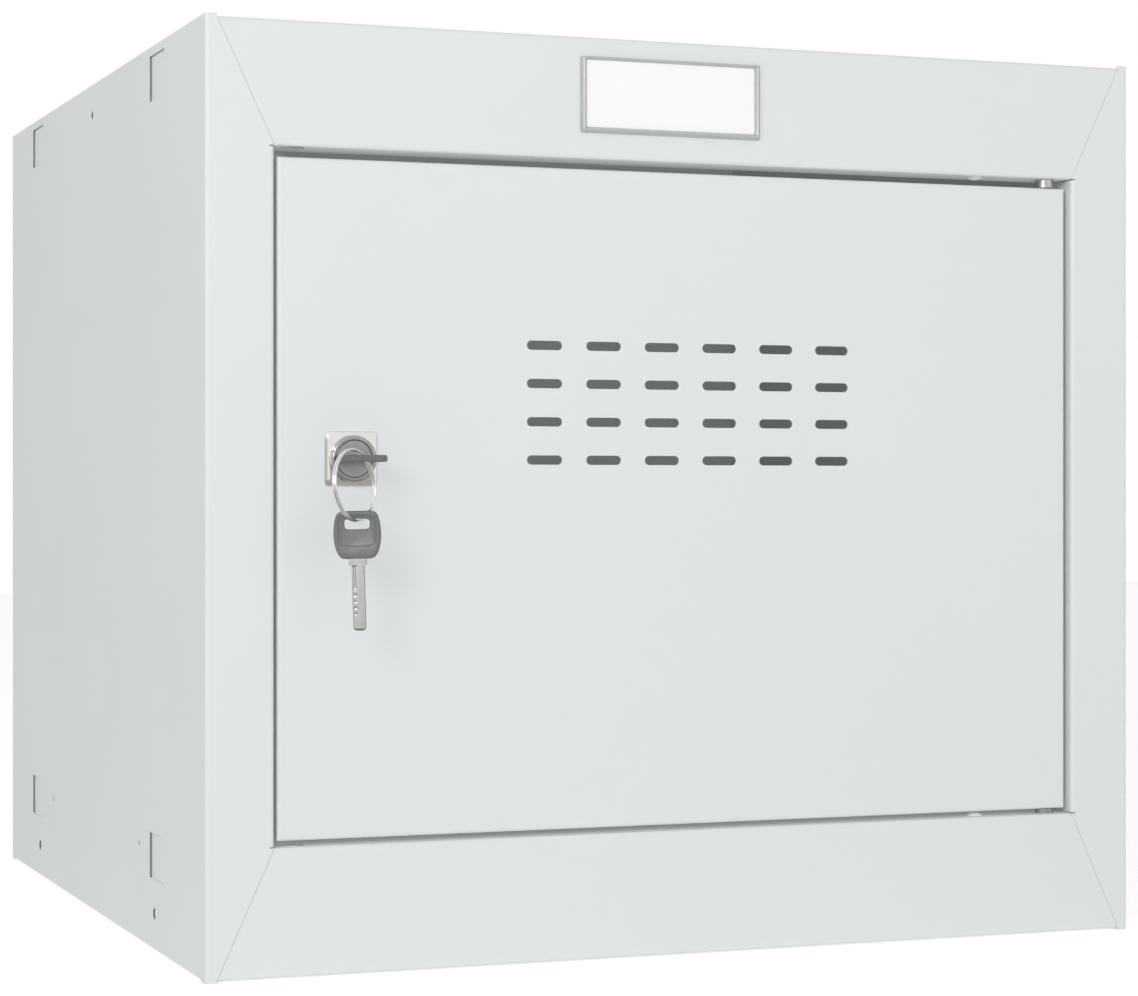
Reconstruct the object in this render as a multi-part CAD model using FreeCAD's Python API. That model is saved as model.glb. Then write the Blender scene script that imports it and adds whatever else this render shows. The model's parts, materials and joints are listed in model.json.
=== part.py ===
import FreeCAD, Part
import math
import os

os.makedirs("parts", exist_ok=True)
Vec = FreeCAD.Vector

# Driving dimensions of the cabinet, millimetres
WIDTH = 400.0
DEPTH = 400.0
HEIGHT = 365.0
SHEET = 0.8
BEND = 1.6
STILE = 26.9
RAIL_LOW = 50.0
RAIL_HIGH = 48.6
SIDE_PROUD = 0.8
MITRE_STRIP = 4.5
MITRE_GAP = 0.1
RETURN_DEPTH = 18.0
REAR_FLANGE = 16.0
FOOT_FLANGE = 18.0
FOOT_SETBACK = 7.0
SIDE_FLANGE = 24.0
FLANGE_INSET = 10.0

# Door and its gaps
DOOR_GAP_LOCK = 1.7
DOOR_GAP_HINGE = 2.1
DOOR_GAP_LOW = 2.25
DOOR_GAP_TOP = 4.0
DOOR_RECESS = 2.0
DOOR_DEPTH = 20.0
DOOR_LIP_LOCK = 12.0
DOOR_LIP = 10.0
STOP_GAP = 1.0
STOP_LIP = 10.0

# Side windows and holes
WINDOW_LENGTH = 25.0
WINDOW_HEIGHT = 18.4
WINDOW_FROM_FRONT = 79.5
WINDOW_FROM_REAR = 69.0
WINDOW_DROP = 2.8
JOIN_HOLE_R = 2.5
JOIN_HOLE_INSET = 79.0
JOIN_HOLE_MIDDLE = 4.4
JOIN_HOLE_Z = 15.0
HANG_HOLE_R = 1.75
HANG_HOLE_DROP = 13.4
WELD_MARK_R = 1.1
WELD_MARK_DEPTH = 0.25
WELD_MARK_FRONT = 31.5
WELD_MARK_REAR = 39.0
WELD_MARK_DROP = 9.5
WALL_HOLE_R = 3.5
WALL_HOLE_INSET = 50.0
WALL_HOLE_DROP = 65.0

# Vent slots in the door
VENT_COLUMNS = 6
VENT_ROWS = 4
VENT_PITCH_SHARE = 0.0625
VENT_PITCH_Z = 15.0
VENT_LENGTH_SHARE = 0.592
VENT_HEIGHT = 3.6
VENT_ABOVE_MIDDLE = 37.5
VENT_LEFT_OF_MIDDLE = 0.4

# Hinge
HINGE_FROM_EDGE = 7.0
HINGE_BACK = 7.0
PIN_R = 2.0
PIN_COLLAR_R = 3.75
PIN_SHANK_R = 2.5
PIN_REACH = 10.0
PIN_PLAY = 0.2
BUSH_R = 3.2
BUSH_BORE_R = 2.06
BUSH_LENGTH = 13.0
PLATE_THICK = 2.0
PLATE_INNER_REACH = 42.4
PLATE_OUTER_REACH = 6.6
PLATE_FRONT = 3.0
PLATE_BACK = 15.0
RIVET_FROM_PIN = 33.4
RIVET_R = 3.2
SPARE_HOLE_R = 4.5

# Lock, measured from the lock's axis
LOCK_FROM_EDGE = 29.1
LOCK_ABOVE_MIDDLE = 15.1
LOCK_PLATE = 21.2
LOCK_PLATE_THICK = 1.5
LOCK_BEVEL = 1.15
LOCK_CORNER = 1.5
RIM_R = 9.0
RIM_HEIGHT = 3.5
BARREL_R = 9.0
BARREL_FLAT = 8.0
PLUG_R = 7.1
PLUG_RECESS = 0.2
KEY_STANDOFF = 0.35
RUN_CLEAR = 0.1
TAIL_R = 4.0
TAIL_SQUARE = 6.0
CAM_THICK = 2.2
CAM_REACH = 28.0
CAM_WIDTH = 14.0
CAM_CLEAR = 0.7
NUT_FLATS = 22.0
NUT_THICK = 4.0
BOLT_R = 2.0

# Keys and split ring
BOW_LENGTH = 18.0
BOW_HALF = 9.3
BOW_THICK = 2.6
BOW_SLOT_LENGTH = 9.6
BOW_SLOT_WIDTH = 3.9
BOW_RIM = 3.0
BOW_PANEL_DEPTH = 0.4
BLADE_WIDTH = 4.8
BLADE_THICK = 1.9
BLADE_LENGTH = 24.5
SHOULDER_WIDTH = 6.4
SHOULDER_LENGTH = 2.3
RING_R = 13.45
RING_WIRE_R = 0.5
RING_COIL_STEP = 0.46
RING_YAW = 39.7
RING_LEAN = 5.9
RING_CROSSING = 40.5
RING_BACK_FROM_SLOT = 0.07
RING_RIGHT_OF_AXIS = 0.02
SPARE_YAW = -25.0
SPARE_LEAN = 1.6
SPARE_PLAY = 0.28
SPARE_ASIDE = -0.3

# Label holder on the top rail
LABEL_X = -10.1
LABEL_WIDTH = 77.2
LABEL_HEIGHT = 30.2
LABEL_THICK = 2.5
LABEL_BORDER = 2.2
LABEL_TOP_BORDER = 1.4
LABEL_CORNER = 0.8
LABEL_BEVEL = 0.55
LABEL_BASE = 0.6
LABEL_CENTRE_DROP = 23.5
CARD_THICK = 0.4

# Derived planes and places
FRONT = -DEPTH / 2
REAR = DEPTH / 2
SIDE_IN = WIDTH / 2 - SHEET
OPEN_X = WIDTH / 2 - STILE
OPEN_LOW = RAIL_LOW
OPEN_HIGH = HEIGHT - RAIL_HIGH
TOP_Z = HEIGHT - SIDE_PROUD
LOW_Z = SIDE_PROUD
MITRE_X = WIDTH / 2 - MITRE_STRIP
INNER_BEND = BEND - SHEET
DOOR_LEFT = -OPEN_X + DOOR_GAP_LOCK
DOOR_RIGHT = OPEN_X - DOOR_GAP_HINGE
DOOR_LOW = OPEN_LOW + DOOR_GAP_LOW
DOOR_HIGH = OPEN_HIGH - DOOR_GAP_TOP
DOOR_FRONT = FRONT + DOOR_RECESS
DOOR_REAR = DOOR_FRONT + DOOR_DEPTH
STOP_FRONT = DOOR_REAR + STOP_GAP
BACK_FRONT = REAR - 2 * SHEET
WINDOW_FRONT = FRONT + WINDOW_FROM_FRONT
WINDOW_REAR = REAR - WINDOW_FROM_REAR
JOIN_HOLE_SPAN = DEPTH - 2 * JOIN_HOLE_INSET
WALL_HOLE_SPAN = WIDTH - 2 * WALL_HOLE_INSET
VENT_CENTRE_Z = HEIGHT / 2 + VENT_ABOVE_MIDDLE
VENT_PITCH_X = WIDTH * VENT_PITCH_SHARE
VENT_LENGTH = VENT_PITCH_X * VENT_LENGTH_SHARE
HINGE_X = DOOR_RIGHT - HINGE_FROM_EDGE
PLATE_INNER_X = HINGE_X - PLATE_INNER_REACH
PLATE_OUTER_X = HINGE_X + PLATE_OUTER_REACH
RIVET_X = HINGE_X - RIVET_FROM_PIN
LOCK_X = DOOR_LEFT + LOCK_FROM_EDGE
LOCK_Z = HEIGHT / 2 + LOCK_ABOVE_MIDDLE
FAR = 1000.0


def filleted(points, radii, closed):
    # Straight runs joined by arcs of the given radius at each corner
    count = len(points)
    corners = []
    for i, point in enumerate(points):
        here = Vec(*point)
        radius = radii[i]
        is_end = not closed and i in (0, count - 1)
        if is_end or radius < 1e-6:
            corners.append((here, None, here))
            continue
        before = Vec(*points[i - 1]) - here
        after = Vec(*points[(i + 1) % count]) - here
        before.normalize()
        after.normalize()
        half = before.getAngle(after) / 2
        reach = radius / math.tan(half)
        bisector = before + after
        bisector.normalize()
        middle = here + bisector * (radius / math.sin(half) - radius)
        corners.append((here + before * reach, middle, here + after * reach))
    edges = []
    for i, corner in enumerate(corners):
        if corner[1] is not None:
            edges.append(Part.Arc(corner[0], corner[1], corner[2]).toShape())
        last = i == count - 1
        if last and not closed:
            break
        start = corner[2]
        end = corners[(i + 1) % count][0]
        if (end - start).Length > 1e-6:
            edges.append(Part.LineSegment(start, end).toShape())
    return edges


def folded(path, thickness, bend, place):
    # Face of a folded sheet: the path is its outer side, the sheet lies to the path's right
    count = len(path)
    directions = []
    for i in range(count - 1):
        du = path[i + 1][0] - path[i][0]
        dv = path[i + 1][1] - path[i][1]
        length = math.hypot(du, dv)
        directions.append((du / length, dv / length))
    inner = []
    path_radii = []
    inner_radii = []
    for i, point in enumerate(path):
        first = directions[max(i - 1, 0)]
        second = directions[min(i, count - 2)]
        n1 = (first[1], -first[0])
        n2 = (second[1], -second[0])
        scale = thickness / (1 + n1[0] * n2[0] + n1[1] * n2[1])
        inner.append((point[0] + (n1[0] + n2[0]) * scale, point[1] + (n1[1] + n2[1]) * scale))
        turn = first[0] * second[1] - first[1] * second[0]
        path_radii.append(bend if turn < 0 else bend - thickness)
        inner_radii.append(bend - thickness if turn < 0 else bend)
    outer_points = [place(u, v) for u, v in path]
    inner_points = [place(u, v) for u, v in inner]
    edges = filleted(outer_points, path_radii, False)
    edges += filleted(inner_points, inner_radii, False)
    edges.append(Part.LineSegment(Vec(*outer_points[0]), Vec(*inner_points[0])).toShape())
    edges.append(Part.LineSegment(Vec(*outer_points[-1]), Vec(*inner_points[-1])).toShape())
    return Part.Face(Part.Wire(Part.__sortEdges__(edges)))


def outline(points, radii, height, direction):
    # Prism over a closed outline with rounded corners
    wire = Part.Wire(Part.__sortEdges__(filleted(points, radii, True)))
    return Part.Face(wire).extrude(direction * height)


def box(x0, x1, y0, y1, z0, z1):
    return Part.makeBox(x1 - x0, y1 - y0, z1 - z0, Vec(x0, y0, z0))


def rod(radius, start, end):
    axis = Vec(*end) - Vec(*start)
    return Part.makeCylinder(radius, axis.Length, Vec(*start), axis)


def mirrored(shape):
    return shape.mirror(Vec(0, 0, 0), Vec(1, 0, 0))


def mitre_prism(low, high, narrow_low, shift, y0, y1):
    # Rail outline between its two mitre lines, grown or shrunk by the shift
    wide = MITRE_X + shift
    narrow = OPEN_X + shift
    low_x = narrow if narrow_low else wide
    high_x = wide if narrow_low else narrow
    points = [(-low_x, y0, low), (low_x, y0, low), (high_x, y0, high), (-high_x, y0, high)]
    return outline(points, [0, 0, 0, 0], y1 - y0, Vec(0, 1, 0))


def rail_panel(low, high, narrow_low, return_depth, return_half):
    # Flat panel with a front rail, side flanges and a rear flange, all folded down
    path = [
        (FRONT + return_depth, low), (FRONT, low), (FRONT, high),
        (BACK_FRONT, high), (BACK_FRONT, high - 20.0),
    ]
    face = folded(path, SHEET, BEND, lambda u, v: (-SIDE_IN, u, v))
    panel = face.extrude(Vec(2 * SIDE_IN, 0, 0))
    behind = FRONT + BEND + 0.2
    front_zone = box(-SIDE_IN - 1, SIDE_IN + 1, FRONT - 1, behind, low - 1, high + 1)
    keep = mitre_prism(low - 0.001, high + 0.001, narrow_low, -MITRE_GAP, FRONT - 2, behind + 1)
    panel = panel.cut(front_zone.cut(keep))
    low_cut = box(return_half, SIDE_IN + 1, behind - 0.5, FRONT + return_depth + 1, low - 1, low + 4)
    panel = panel.cut(low_cut).cut(mirrored(low_cut))
    flange_y0 = FRONT + FLANGE_INSET
    flange_y1 = REAR - FLANGE_INSET
    margin = 5.0
    edge = SIDE_IN - margin
    strip = box(edge, SIDE_IN + 1, flange_y0, flange_y1, high - 2, high + 1)
    panel = panel.cut(strip).cut(mirrored(strip))
    side_path = [(-SIDE_IN, high - SIDE_FLANGE), (-SIDE_IN, high), (-edge, high)]
    side_face = folded(side_path, SHEET, BEND, lambda u, v: (u, flange_y0, v))
    flange = side_face.extrude(Vec(0, flange_y1 - flange_y0, 0))
    return panel.fuse([flange, mirrored(flange)]).removeSplitter()


def window_boxes():
    boxes = []
    for middle in (WINDOW_FRONT, WINDOW_REAR):
        for high in (TOP_Z, RAIL_LOW):
            top = high - WINDOW_DROP
            boxes.append(box(-WIDTH / 2 - 1, -SIDE_IN + 0.01, middle - WINDOW_LENGTH / 2,
                             middle + WINDOW_LENGTH / 2, top - WINDOW_HEIGHT, top))
    return boxes


def side_panel(with_stop):
    # Left-hand side; the right-hand side is its mirror image without the stop lip
    left = -WIDTH / 2
    tail = [(left, FRONT), (left, REAR), (left + REAR_FLANGE, REAR)]
    if with_stop:
        head = [(-OPEN_X + STOP_LIP, STOP_FRONT), (-OPEN_X, STOP_FRONT), (-OPEN_X, FRONT)]
    else:
        head = [(-OPEN_X, FRONT + RETURN_DEPTH), (-OPEN_X, FRONT)]
    middle_face = folded(head + tail, SHEET, BEND, lambda u, v: (u, v, OPEN_LOW))
    middle = middle_face.extrude(Vec(0, 0, OPEN_HIGH - OPEN_LOW))
    relief = 0.4
    for z0 in (OPEN_LOW, OPEN_HIGH - relief):
        middle = middle.cut(box(-OPEN_X - BEND - 0.2, 0, FRONT - 1, 0, z0, z0 + relief))
    end_face = folded([(-OPEN_X, FRONT)] + tail, SHEET, BEND, lambda u, v: (u, v, 0))
    lower = end_face.extrude(Vec(0, 0, OPEN_LOW))
    upper = end_face.extrude(Vec(0, 0, HEIGHT - OPEN_HIGH))
    upper.translate(Vec(0, 0, OPEN_HIGH))
    behind = FRONT + BEND + 0.2
    rail_top = mitre_prism(OPEN_HIGH, TOP_Z, True, 0, FRONT - 1, behind)
    rail_low = mitre_prism(LOW_Z, OPEN_LOW, False, 0, FRONT - 1, behind)
    above = box(-MITRE_X, 0, FRONT - 1, behind, TOP_Z - 0.01, HEIGHT + 1)
    below = box(-MITRE_X, 0, FRONT - 1, behind, -1, LOW_Z + 0.01)
    upper = upper.cut(rail_top).cut(above)
    lower = lower.cut(rail_low).cut(below)
    panel = middle.fuse([upper, lower])
    foot_y0 = FRONT + FOOT_SETBACK
    foot_y1 = REAR - FOOT_SETBACK
    rise = 6.0
    panel = panel.cut(box(left - 1, left + 3, foot_y0, foot_y1, -1, rise))
    foot_path = [(left + FOOT_FLANGE, 0), (left, 0), (left, rise)]
    foot_face = folded(foot_path, SHEET, BEND, lambda u, v: (u, foot_y0, v))
    panel = panel.fuse(foot_face.extrude(Vec(0, foot_y1 - foot_y0, 0))).removeSplitter()
    cuts = window_boxes()
    outside = left - 1
    inside = left + 4
    for side in (-1, 1):
        y = JOIN_HOLE_MIDDLE + side * JOIN_HOLE_SPAN / 2
        cuts.append(rod(JOIN_HOLE_R, (outside, y, JOIN_HOLE_Z), (inside, y, JOIN_HOLE_Z)))
    hang_z = HEIGHT - HANG_HOLE_DROP
    cuts.append(rod(HANG_HOLE_R, (outside, JOIN_HOLE_MIDDLE, hang_z), (inside, JOIN_HOLE_MIDDLE, hang_z)))
    for y in (WINDOW_FRONT + WELD_MARK_FRONT, WINDOW_REAR - WELD_MARK_REAR):
        z = RAIL_LOW - WELD_MARK_DROP
        cuts.append(rod(WELD_MARK_R, (outside, y, z), (left + WELD_MARK_DEPTH, y, z)))
    return panel.cut(cuts)


def hang_hole_in_flanges(panel):
    z = HEIGHT - HANG_HOLE_DROP
    return panel.cut(rod(HANG_HOLE_R, (-FAR, JOIN_HOLE_MIDDLE, z), (FAR, JOIN_HOLE_MIDDLE, z)))


HINGE_Y = FRONT + HINGE_BACK

# Carcass panels
left_side_panel = side_panel(True)
right_side_panel = mirrored(side_panel(False))
top_panel = hang_hole_in_flanges(rail_panel(OPEN_HIGH, TOP_Z, True, RETURN_DEPTH, OPEN_X - 0.2))
floor_panel = rail_panel(LOW_Z, OPEN_LOW, False, RETURN_DEPTH, MITRE_X - 1.0)


def hinge_cuts(z):
    # Holes for the pin and the rivet, and the spare hole at the other end of the rail
    return [
        rod(PIN_SHANK_R + 0.05, (HINGE_X, HINGE_Y, z - 4), (HINGE_X, HINGE_Y, z + 4)),
        rod(2.05, (RIVET_X, HINGE_Y, z - 4), (RIVET_X, HINGE_Y, z + 4)),
        rod(SPARE_HOLE_R, (-HINGE_X, HINGE_Y, z - 4), (-HINGE_X, HINGE_Y, z + 4)),
    ]


floor_panel = floor_panel.cut(hinge_cuts(OPEN_LOW))
top_panel = top_panel.cut(hinge_cuts(OPEN_HIGH))
back_half = SIDE_IN - INNER_BEND - 0.2
back_panel = box(-back_half, back_half, BACK_FRONT, BACK_FRONT + SHEET, LOW_Z, TOP_Z)
wall_z = HEIGHT - WALL_HOLE_DROP
for side in (-1, 1):
    x = side * WALL_HOLE_SPAN / 2
    back_panel = back_panel.cut(rod(WALL_HOLE_R, (x, BACK_FRONT - 1, wall_z), (x, REAR, wall_z)))


# Hinge pins, plates, rivets and bushes; the upper set is turned over
def turned_profile(x, y, stations):
    # Solid turned about a vertical axis from (radius, height) stations
    points = [Vec(x, y, stations[0][1])]
    points += [Vec(x + r, y, z) for r, z in stations]
    points += [Vec(x, y, stations[-1][1]), Vec(x, y, stations[0][1])]
    face = Part.Face(Part.makePolygon(points))
    return face.revolve(Vec(x, y, 0), Vec(0, 0, 1), 360)


def hinge_set(rail_z, door_z):
    # Plate, pin, rivet and bush for a rail whose edge lies below the door's end
    plate_top = rail_z - SHEET
    plate_low = plate_top - PLATE_THICK
    plate = outline(
        [(PLATE_INNER_X, FRONT + PLATE_FRONT, plate_low), (PLATE_OUTER_X, FRONT + PLATE_FRONT, plate_low),
         (PLATE_OUTER_X, FRONT + PLATE_BACK, plate_low), (PLATE_INNER_X, FRONT + PLATE_BACK, plate_low)],
        [3.0, 3.0, 3.0, 3.0], PLATE_THICK, Vec(0, 0, 1))
    plate = plate.cut(hinge_cuts(rail_z)[:2])
    collar_top = door_z - PIN_PLAY
    pin = turned_profile(HINGE_X, HINGE_Y, [
        (3.6, plate_low - 1.2), (3.9, plate_low - 0.8), (3.9, plate_low), (PIN_SHANK_R, plate_low),
        (PIN_SHANK_R, rail_z), (PIN_COLLAR_R, rail_z), (PIN_COLLAR_R, collar_top - 0.3),
        (PIN_COLLAR_R - 0.3, collar_top), (PIN_R, collar_top), (PIN_R, door_z + PIN_REACH - 0.6),
        (PIN_R - 0.6, door_z + PIN_REACH)])
    rivet = turned_profile(RIVET_X, HINGE_Y, [
        (2.6, plate_low - 1.0), (3.0, plate_low - 0.6), (3.0, plate_low), (2.0, plate_low),
        (2.0, rail_z), (RIVET_R, rail_z), (RIVET_R - 0.2, rail_z + 0.6),
        (RIVET_R - 1.0, rail_z + 1.1), (1.0, rail_z + 1.4)])
    bush = turned_profile(HINGE_X, HINGE_Y, [
        (BUSH_R, door_z), (BUSH_R, door_z + SHEET + 0.05), (BUSH_R + 0.25, door_z + SHEET + 0.05),
        (BUSH_R + 0.25, door_z + SHEET + 1.5), (BUSH_R, door_z + SHEET + 2.0),
        (BUSH_R, door_z + BUSH_LENGTH)])
    bush = bush.cut(
        rod(BUSH_BORE_R, (HINGE_X, HINGE_Y, door_z - 1), (HINGE_X, HINGE_Y, door_z + PIN_REACH + 1)))
    return plate, pin, rivet, bush


lower_hinge_plate, lower_hinge_pin, lower_hinge_rivet, lower_hinge_bush = hinge_set(OPEN_LOW, DOOR_LOW)
upper_hinge_plate, upper_hinge_pin, upper_hinge_rivet, upper_hinge_bush = [
    shape.mirror(Vec(0, 0, HEIGHT / 2), Vec(0, 0, 1))
    for shape in hinge_set(HEIGHT - OPEN_HIGH, HEIGHT - DOOR_HIGH)]

# Rubber buffers pressed into the stop lip
BUFFER_X = -OPEN_X + STOP_LIP / 2 + 0.6


def buffer_at(z):
    head = rod(3.4, (BUFFER_X, STOP_FRONT - STOP_GAP + 0.1, z), (BUFFER_X, STOP_FRONT, z))
    stem = rod(1.9, (BUFFER_X, STOP_FRONT, z), (BUFFER_X, STOP_FRONT + SHEET, z))
    bulb = rod(2.6, (BUFFER_X, STOP_FRONT + SHEET, z), (BUFFER_X, STOP_FRONT + SHEET + 1.4, z))
    return head.fuse([stem, bulb]).removeSplitter()


BUFFER_STEP = (OPEN_HIGH - OPEN_LOW) * 0.33
lower_door_buffer = buffer_at(HEIGHT / 2 - BUFFER_STEP)
upper_door_buffer = buffer_at(HEIGHT / 2 + BUFFER_STEP)
for z in (HEIGHT / 2 - BUFFER_STEP, HEIGHT / 2 + BUFFER_STEP):
    hole = rod(1.95, (BUFFER_X, STOP_FRONT - 1, z), (BUFFER_X, STOP_FRONT + 3, z))
    left_side_panel = left_side_panel.cut(hole)

# Label holder and card
LABEL_Z = HEIGHT - LABEL_CENTRE_DROP


def label_prism(inset, top_inset, y0, y1):
    half_w = LABEL_WIDTH / 2 - inset
    low = LABEL_Z - LABEL_HEIGHT / 2 + inset
    high = LABEL_Z + LABEL_HEIGHT / 2 - top_inset
    points = [(LABEL_X - half_w, y0, low), (LABEL_X + half_w, y0, low),
              (LABEL_X + half_w, y0, high), (LABEL_X - half_w, y0, high)]
    return outline(points, [LABEL_CORNER] * 4, y1 - y0, Vec(0, 1, 0))


label_frame = label_prism(0, 0, FRONT - LABEL_THICK, FRONT)
front_edges = [edge for edge in label_frame.Edges if edge.BoundBox.YMax < FRONT - LABEL_THICK + 0.01]
label_frame = label_frame.makeChamfer(LABEL_BEVEL, front_edges)
label_frame = label_frame.cut(
    label_prism(LABEL_BORDER, LABEL_TOP_BORDER, FRONT - LABEL_THICK - 1, FRONT - LABEL_BASE))
card_front = FRONT - LABEL_BASE - CARD_THICK
label_card = label_prism(LABEL_BORDER + 0.05, LABEL_TOP_BORDER + 0.05, card_front, FRONT - LABEL_BASE)

# Door pan
door_block = box(DOOR_LEFT, DOOR_RIGHT, DOOR_FRONT, DOOR_REAR, DOOR_LOW, DOOR_HIGH)
outer_edges = [edge for edge in door_block.Edges if edge.BoundBox.YMax < DOOR_FRONT + 0.01]
door_block = door_block.makeFillet(BEND, outer_edges)
hollow = box(DOOR_LEFT + SHEET, DOOR_RIGHT - SHEET, DOOR_FRONT + SHEET, DOOR_REAR - SHEET,
             DOOR_LOW + SHEET, DOOR_HIGH - SHEET)
inner_edges = [edge for edge in hollow.Edges if edge.BoundBox.YMax < DOOR_FRONT + SHEET + 0.01]
hollow = hollow.makeFillet(INNER_BEND, inner_edges)
door_mouth = box(DOOR_LEFT + DOOR_LIP_LOCK, DOOR_RIGHT - DOOR_LIP, DOOR_REAR - 5, DOOR_REAR + 1,
                 DOOR_LOW + DOOR_LIP, DOOR_HIGH - DOOR_LIP)
door_pan = door_block.cut(hollow).cut(door_mouth)


def obround(x, z, length, height, y0, y1):
    half = length / 2
    tall = height / 2
    points = [(x - half, y0, z - tall), (x + half, y0, z - tall),
              (x + half, y0, z + tall), (x - half, y0, z + tall)]
    return outline(points, [tall - 0.001] * 4, y1 - y0, Vec(0, 1, 0))


vents = []
for column in range(VENT_COLUMNS):
    x = (column - (VENT_COLUMNS - 1) / 2) * VENT_PITCH_X - VENT_LEFT_OF_MIDDLE
    for row in range(VENT_ROWS):
        z = VENT_CENTRE_Z + (row - (VENT_ROWS - 1) / 2) * VENT_PITCH_Z
        vents.append(obround(x, z, VENT_LENGTH, VENT_HEIGHT, DOOR_FRONT - 1, DOOR_FRONT + SHEET + 1))
door_pan = door_pan.cut(vents)
for z0 in (DOOR_LOW, DOOR_HIGH):
    bush_hole = rod(BUSH_R + 0.05, (HINGE_X, HINGE_Y, z0 - 3), (HINGE_X, HINGE_Y, z0 + 3))
    door_pan = door_pan.cut(bush_hole)

# Door stiffener, a hat section between the lock and the vents
VENT_LEFT = -(VENT_COLUMNS - 1) / 2 * VENT_PITCH_X - VENT_LENGTH / 2 - VENT_LEFT_OF_MIDDLE
HAT_X = (LOCK_X + NUT_FLATS / 2 + VENT_LEFT) / 2
HAT_CROWN = 9.0
HAT_BRIM = 19.0
HAT_DEEP = 12.0
skin_back = DOOR_FRONT + SHEET
hat_path = [
    (HAT_X + HAT_BRIM, skin_back + SHEET), (HAT_X + HAT_CROWN, skin_back + SHEET),
    (HAT_X + HAT_CROWN, skin_back + HAT_DEEP), (HAT_X - HAT_CROWN, skin_back + HAT_DEEP),
    (HAT_X - HAT_CROWN, skin_back + SHEET), (HAT_X - HAT_BRIM, skin_back + SHEET)]
hat_low = DOOR_LOW + DOOR_LIP + 3
hat_high = DOOR_HIGH - DOOR_LIP - 3
hat_face = folded(hat_path[::-1], SHEET, BEND, lambda u, v: (u, v, hat_low))
door_stiffener = hat_face.extrude(Vec(0, 0, hat_high - hat_low))

# Lock
PLATE_Y = DOOR_FRONT - LOCK_PLATE_THICK
RIM_Y = PLATE_Y - RIM_HEIGHT
PLUG_Y = RIM_Y + PLUG_RECESS
CAM_Y = STOP_FRONT + SHEET + CAM_CLEAR
BARREL_END = CAM_Y - 0.2
BORE_END = BARREL_END - 1.5


def on_axis(radius, y0, y1):
    return rod(radius, (LOCK_X, y0, LOCK_Z), (LOCK_X, y1, LOCK_Z))


def square_prism(side, corner, y0, y1):
    half = side / 2
    points = [(LOCK_X - half, y0, LOCK_Z - half), (LOCK_X + half, y0, LOCK_Z - half),
              (LOCK_X + half, y0, LOCK_Z + half), (LOCK_X - half, y0, LOCK_Z + half)]
    return outline(points, [corner] * 4, y1 - y0, Vec(0, 1, 0))


def flatted(radius, flat, y0, y1):
    slab = box(LOCK_X - FAR, LOCK_X + FAR, y0, y1, LOCK_Z - flat, LOCK_Z + flat)
    return on_axis(radius, y0, y1).common(slab)


lock_plate = square_prism(LOCK_PLATE, LOCK_CORNER, PLATE_Y, DOOR_FRONT)
plate_edges = [edge for edge in lock_plate.Edges if edge.BoundBox.YMax < PLATE_Y + 0.01]
lock_plate = lock_plate.makeChamfer(LOCK_BEVEL, plate_edges)
lock_rim = on_axis(RIM_R, RIM_Y, PLATE_Y + 0.5)
rim_edges = [edge for edge in lock_rim.Edges if edge.BoundBox.YMax < RIM_Y + 0.01]
lock_rim = lock_rim.makeChamfer(0.6, rim_edges)
lock_barrel = flatted(BARREL_R, BARREL_FLAT, DOOR_FRONT - 0.5, BARREL_END)
lock_housing = lock_plate.fuse([lock_rim, lock_barrel]).removeSplitter()
lock_housing = lock_housing.cut(on_axis(PLUG_R + RUN_CLEAR, RIM_Y - 1, BORE_END))
lock_housing = lock_housing.cut(on_axis(TAIL_R + RUN_CLEAR, BORE_END - 1, BARREL_END + 1))
door_pan = door_pan.cut(flatted(BARREL_R + 0.1, BARREL_FLAT + 0.1, DOOR_FRONT - 1, DOOR_FRONT + 2))

lock_washer = on_axis(12.0, skin_back, skin_back + SHEET).cut(on_axis(BARREL_R + 0.1, FRONT, 0))
nut_front = skin_back + SHEET
nut_points = []
for corner in range(6):
    angle = math.radians(60 * corner + 30)
    reach = NUT_FLATS / math.sqrt(3)
    nut_points.append((LOCK_X + reach * math.cos(angle), nut_front, LOCK_Z + reach * math.sin(angle)))
lock_nut = outline(nut_points, [0] * 6, NUT_THICK, Vec(0, 1, 0))
lock_nut = lock_nut.cut(on_axis(BARREL_R + 0.05, FRONT, 0))

TAIL_END = CAM_Y + CAM_THICK - 0.2
KEYWAY_END = BORE_END + 1.1
lock_plug = on_axis(PLUG_R, PLUG_Y, BORE_END - 0.1)
plug_edges = [edge for edge in lock_plug.Edges if edge.BoundBox.YMax < PLUG_Y + 0.01]
lock_plug = lock_plug.makeChamfer(0.15, plug_edges)
tail_neck = on_axis(TAIL_R, BORE_END - 0.2, CAM_Y - 0.1)
tail_square = square_prism(TAIL_SQUARE, 0.6, CAM_Y - 0.2, TAIL_END)
lock_plug = lock_plug.fuse([tail_neck, tail_square]).removeSplitter()
keyway = box(LOCK_X - BLADE_WIDTH / 2 - 0.25, LOCK_X + BLADE_WIDTH / 2 + 0.25, PLUG_Y - 1, KEYWAY_END,
             LOCK_Z - BLADE_THICK / 2 - 0.2, LOCK_Z + BLADE_THICK / 2 + 0.2)
mouth_half = SHOULDER_WIDTH / 2 + 0.2
keyway_mouth = box(LOCK_X - mouth_half, LOCK_X + mouth_half, PLUG_Y - 1, PLUG_Y + SHOULDER_LENGTH + 0.2,
                   LOCK_Z - BLADE_THICK / 2 - 0.2, LOCK_Z + BLADE_THICK / 2 + 0.2)
lock_plug = lock_plug.cut(keyway).cut(keyway_mouth)
lock_plug = lock_plug.cut(on_axis(BOLT_R + 0.05, KEYWAY_END + 0.4, TAIL_END + 1))

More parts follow.
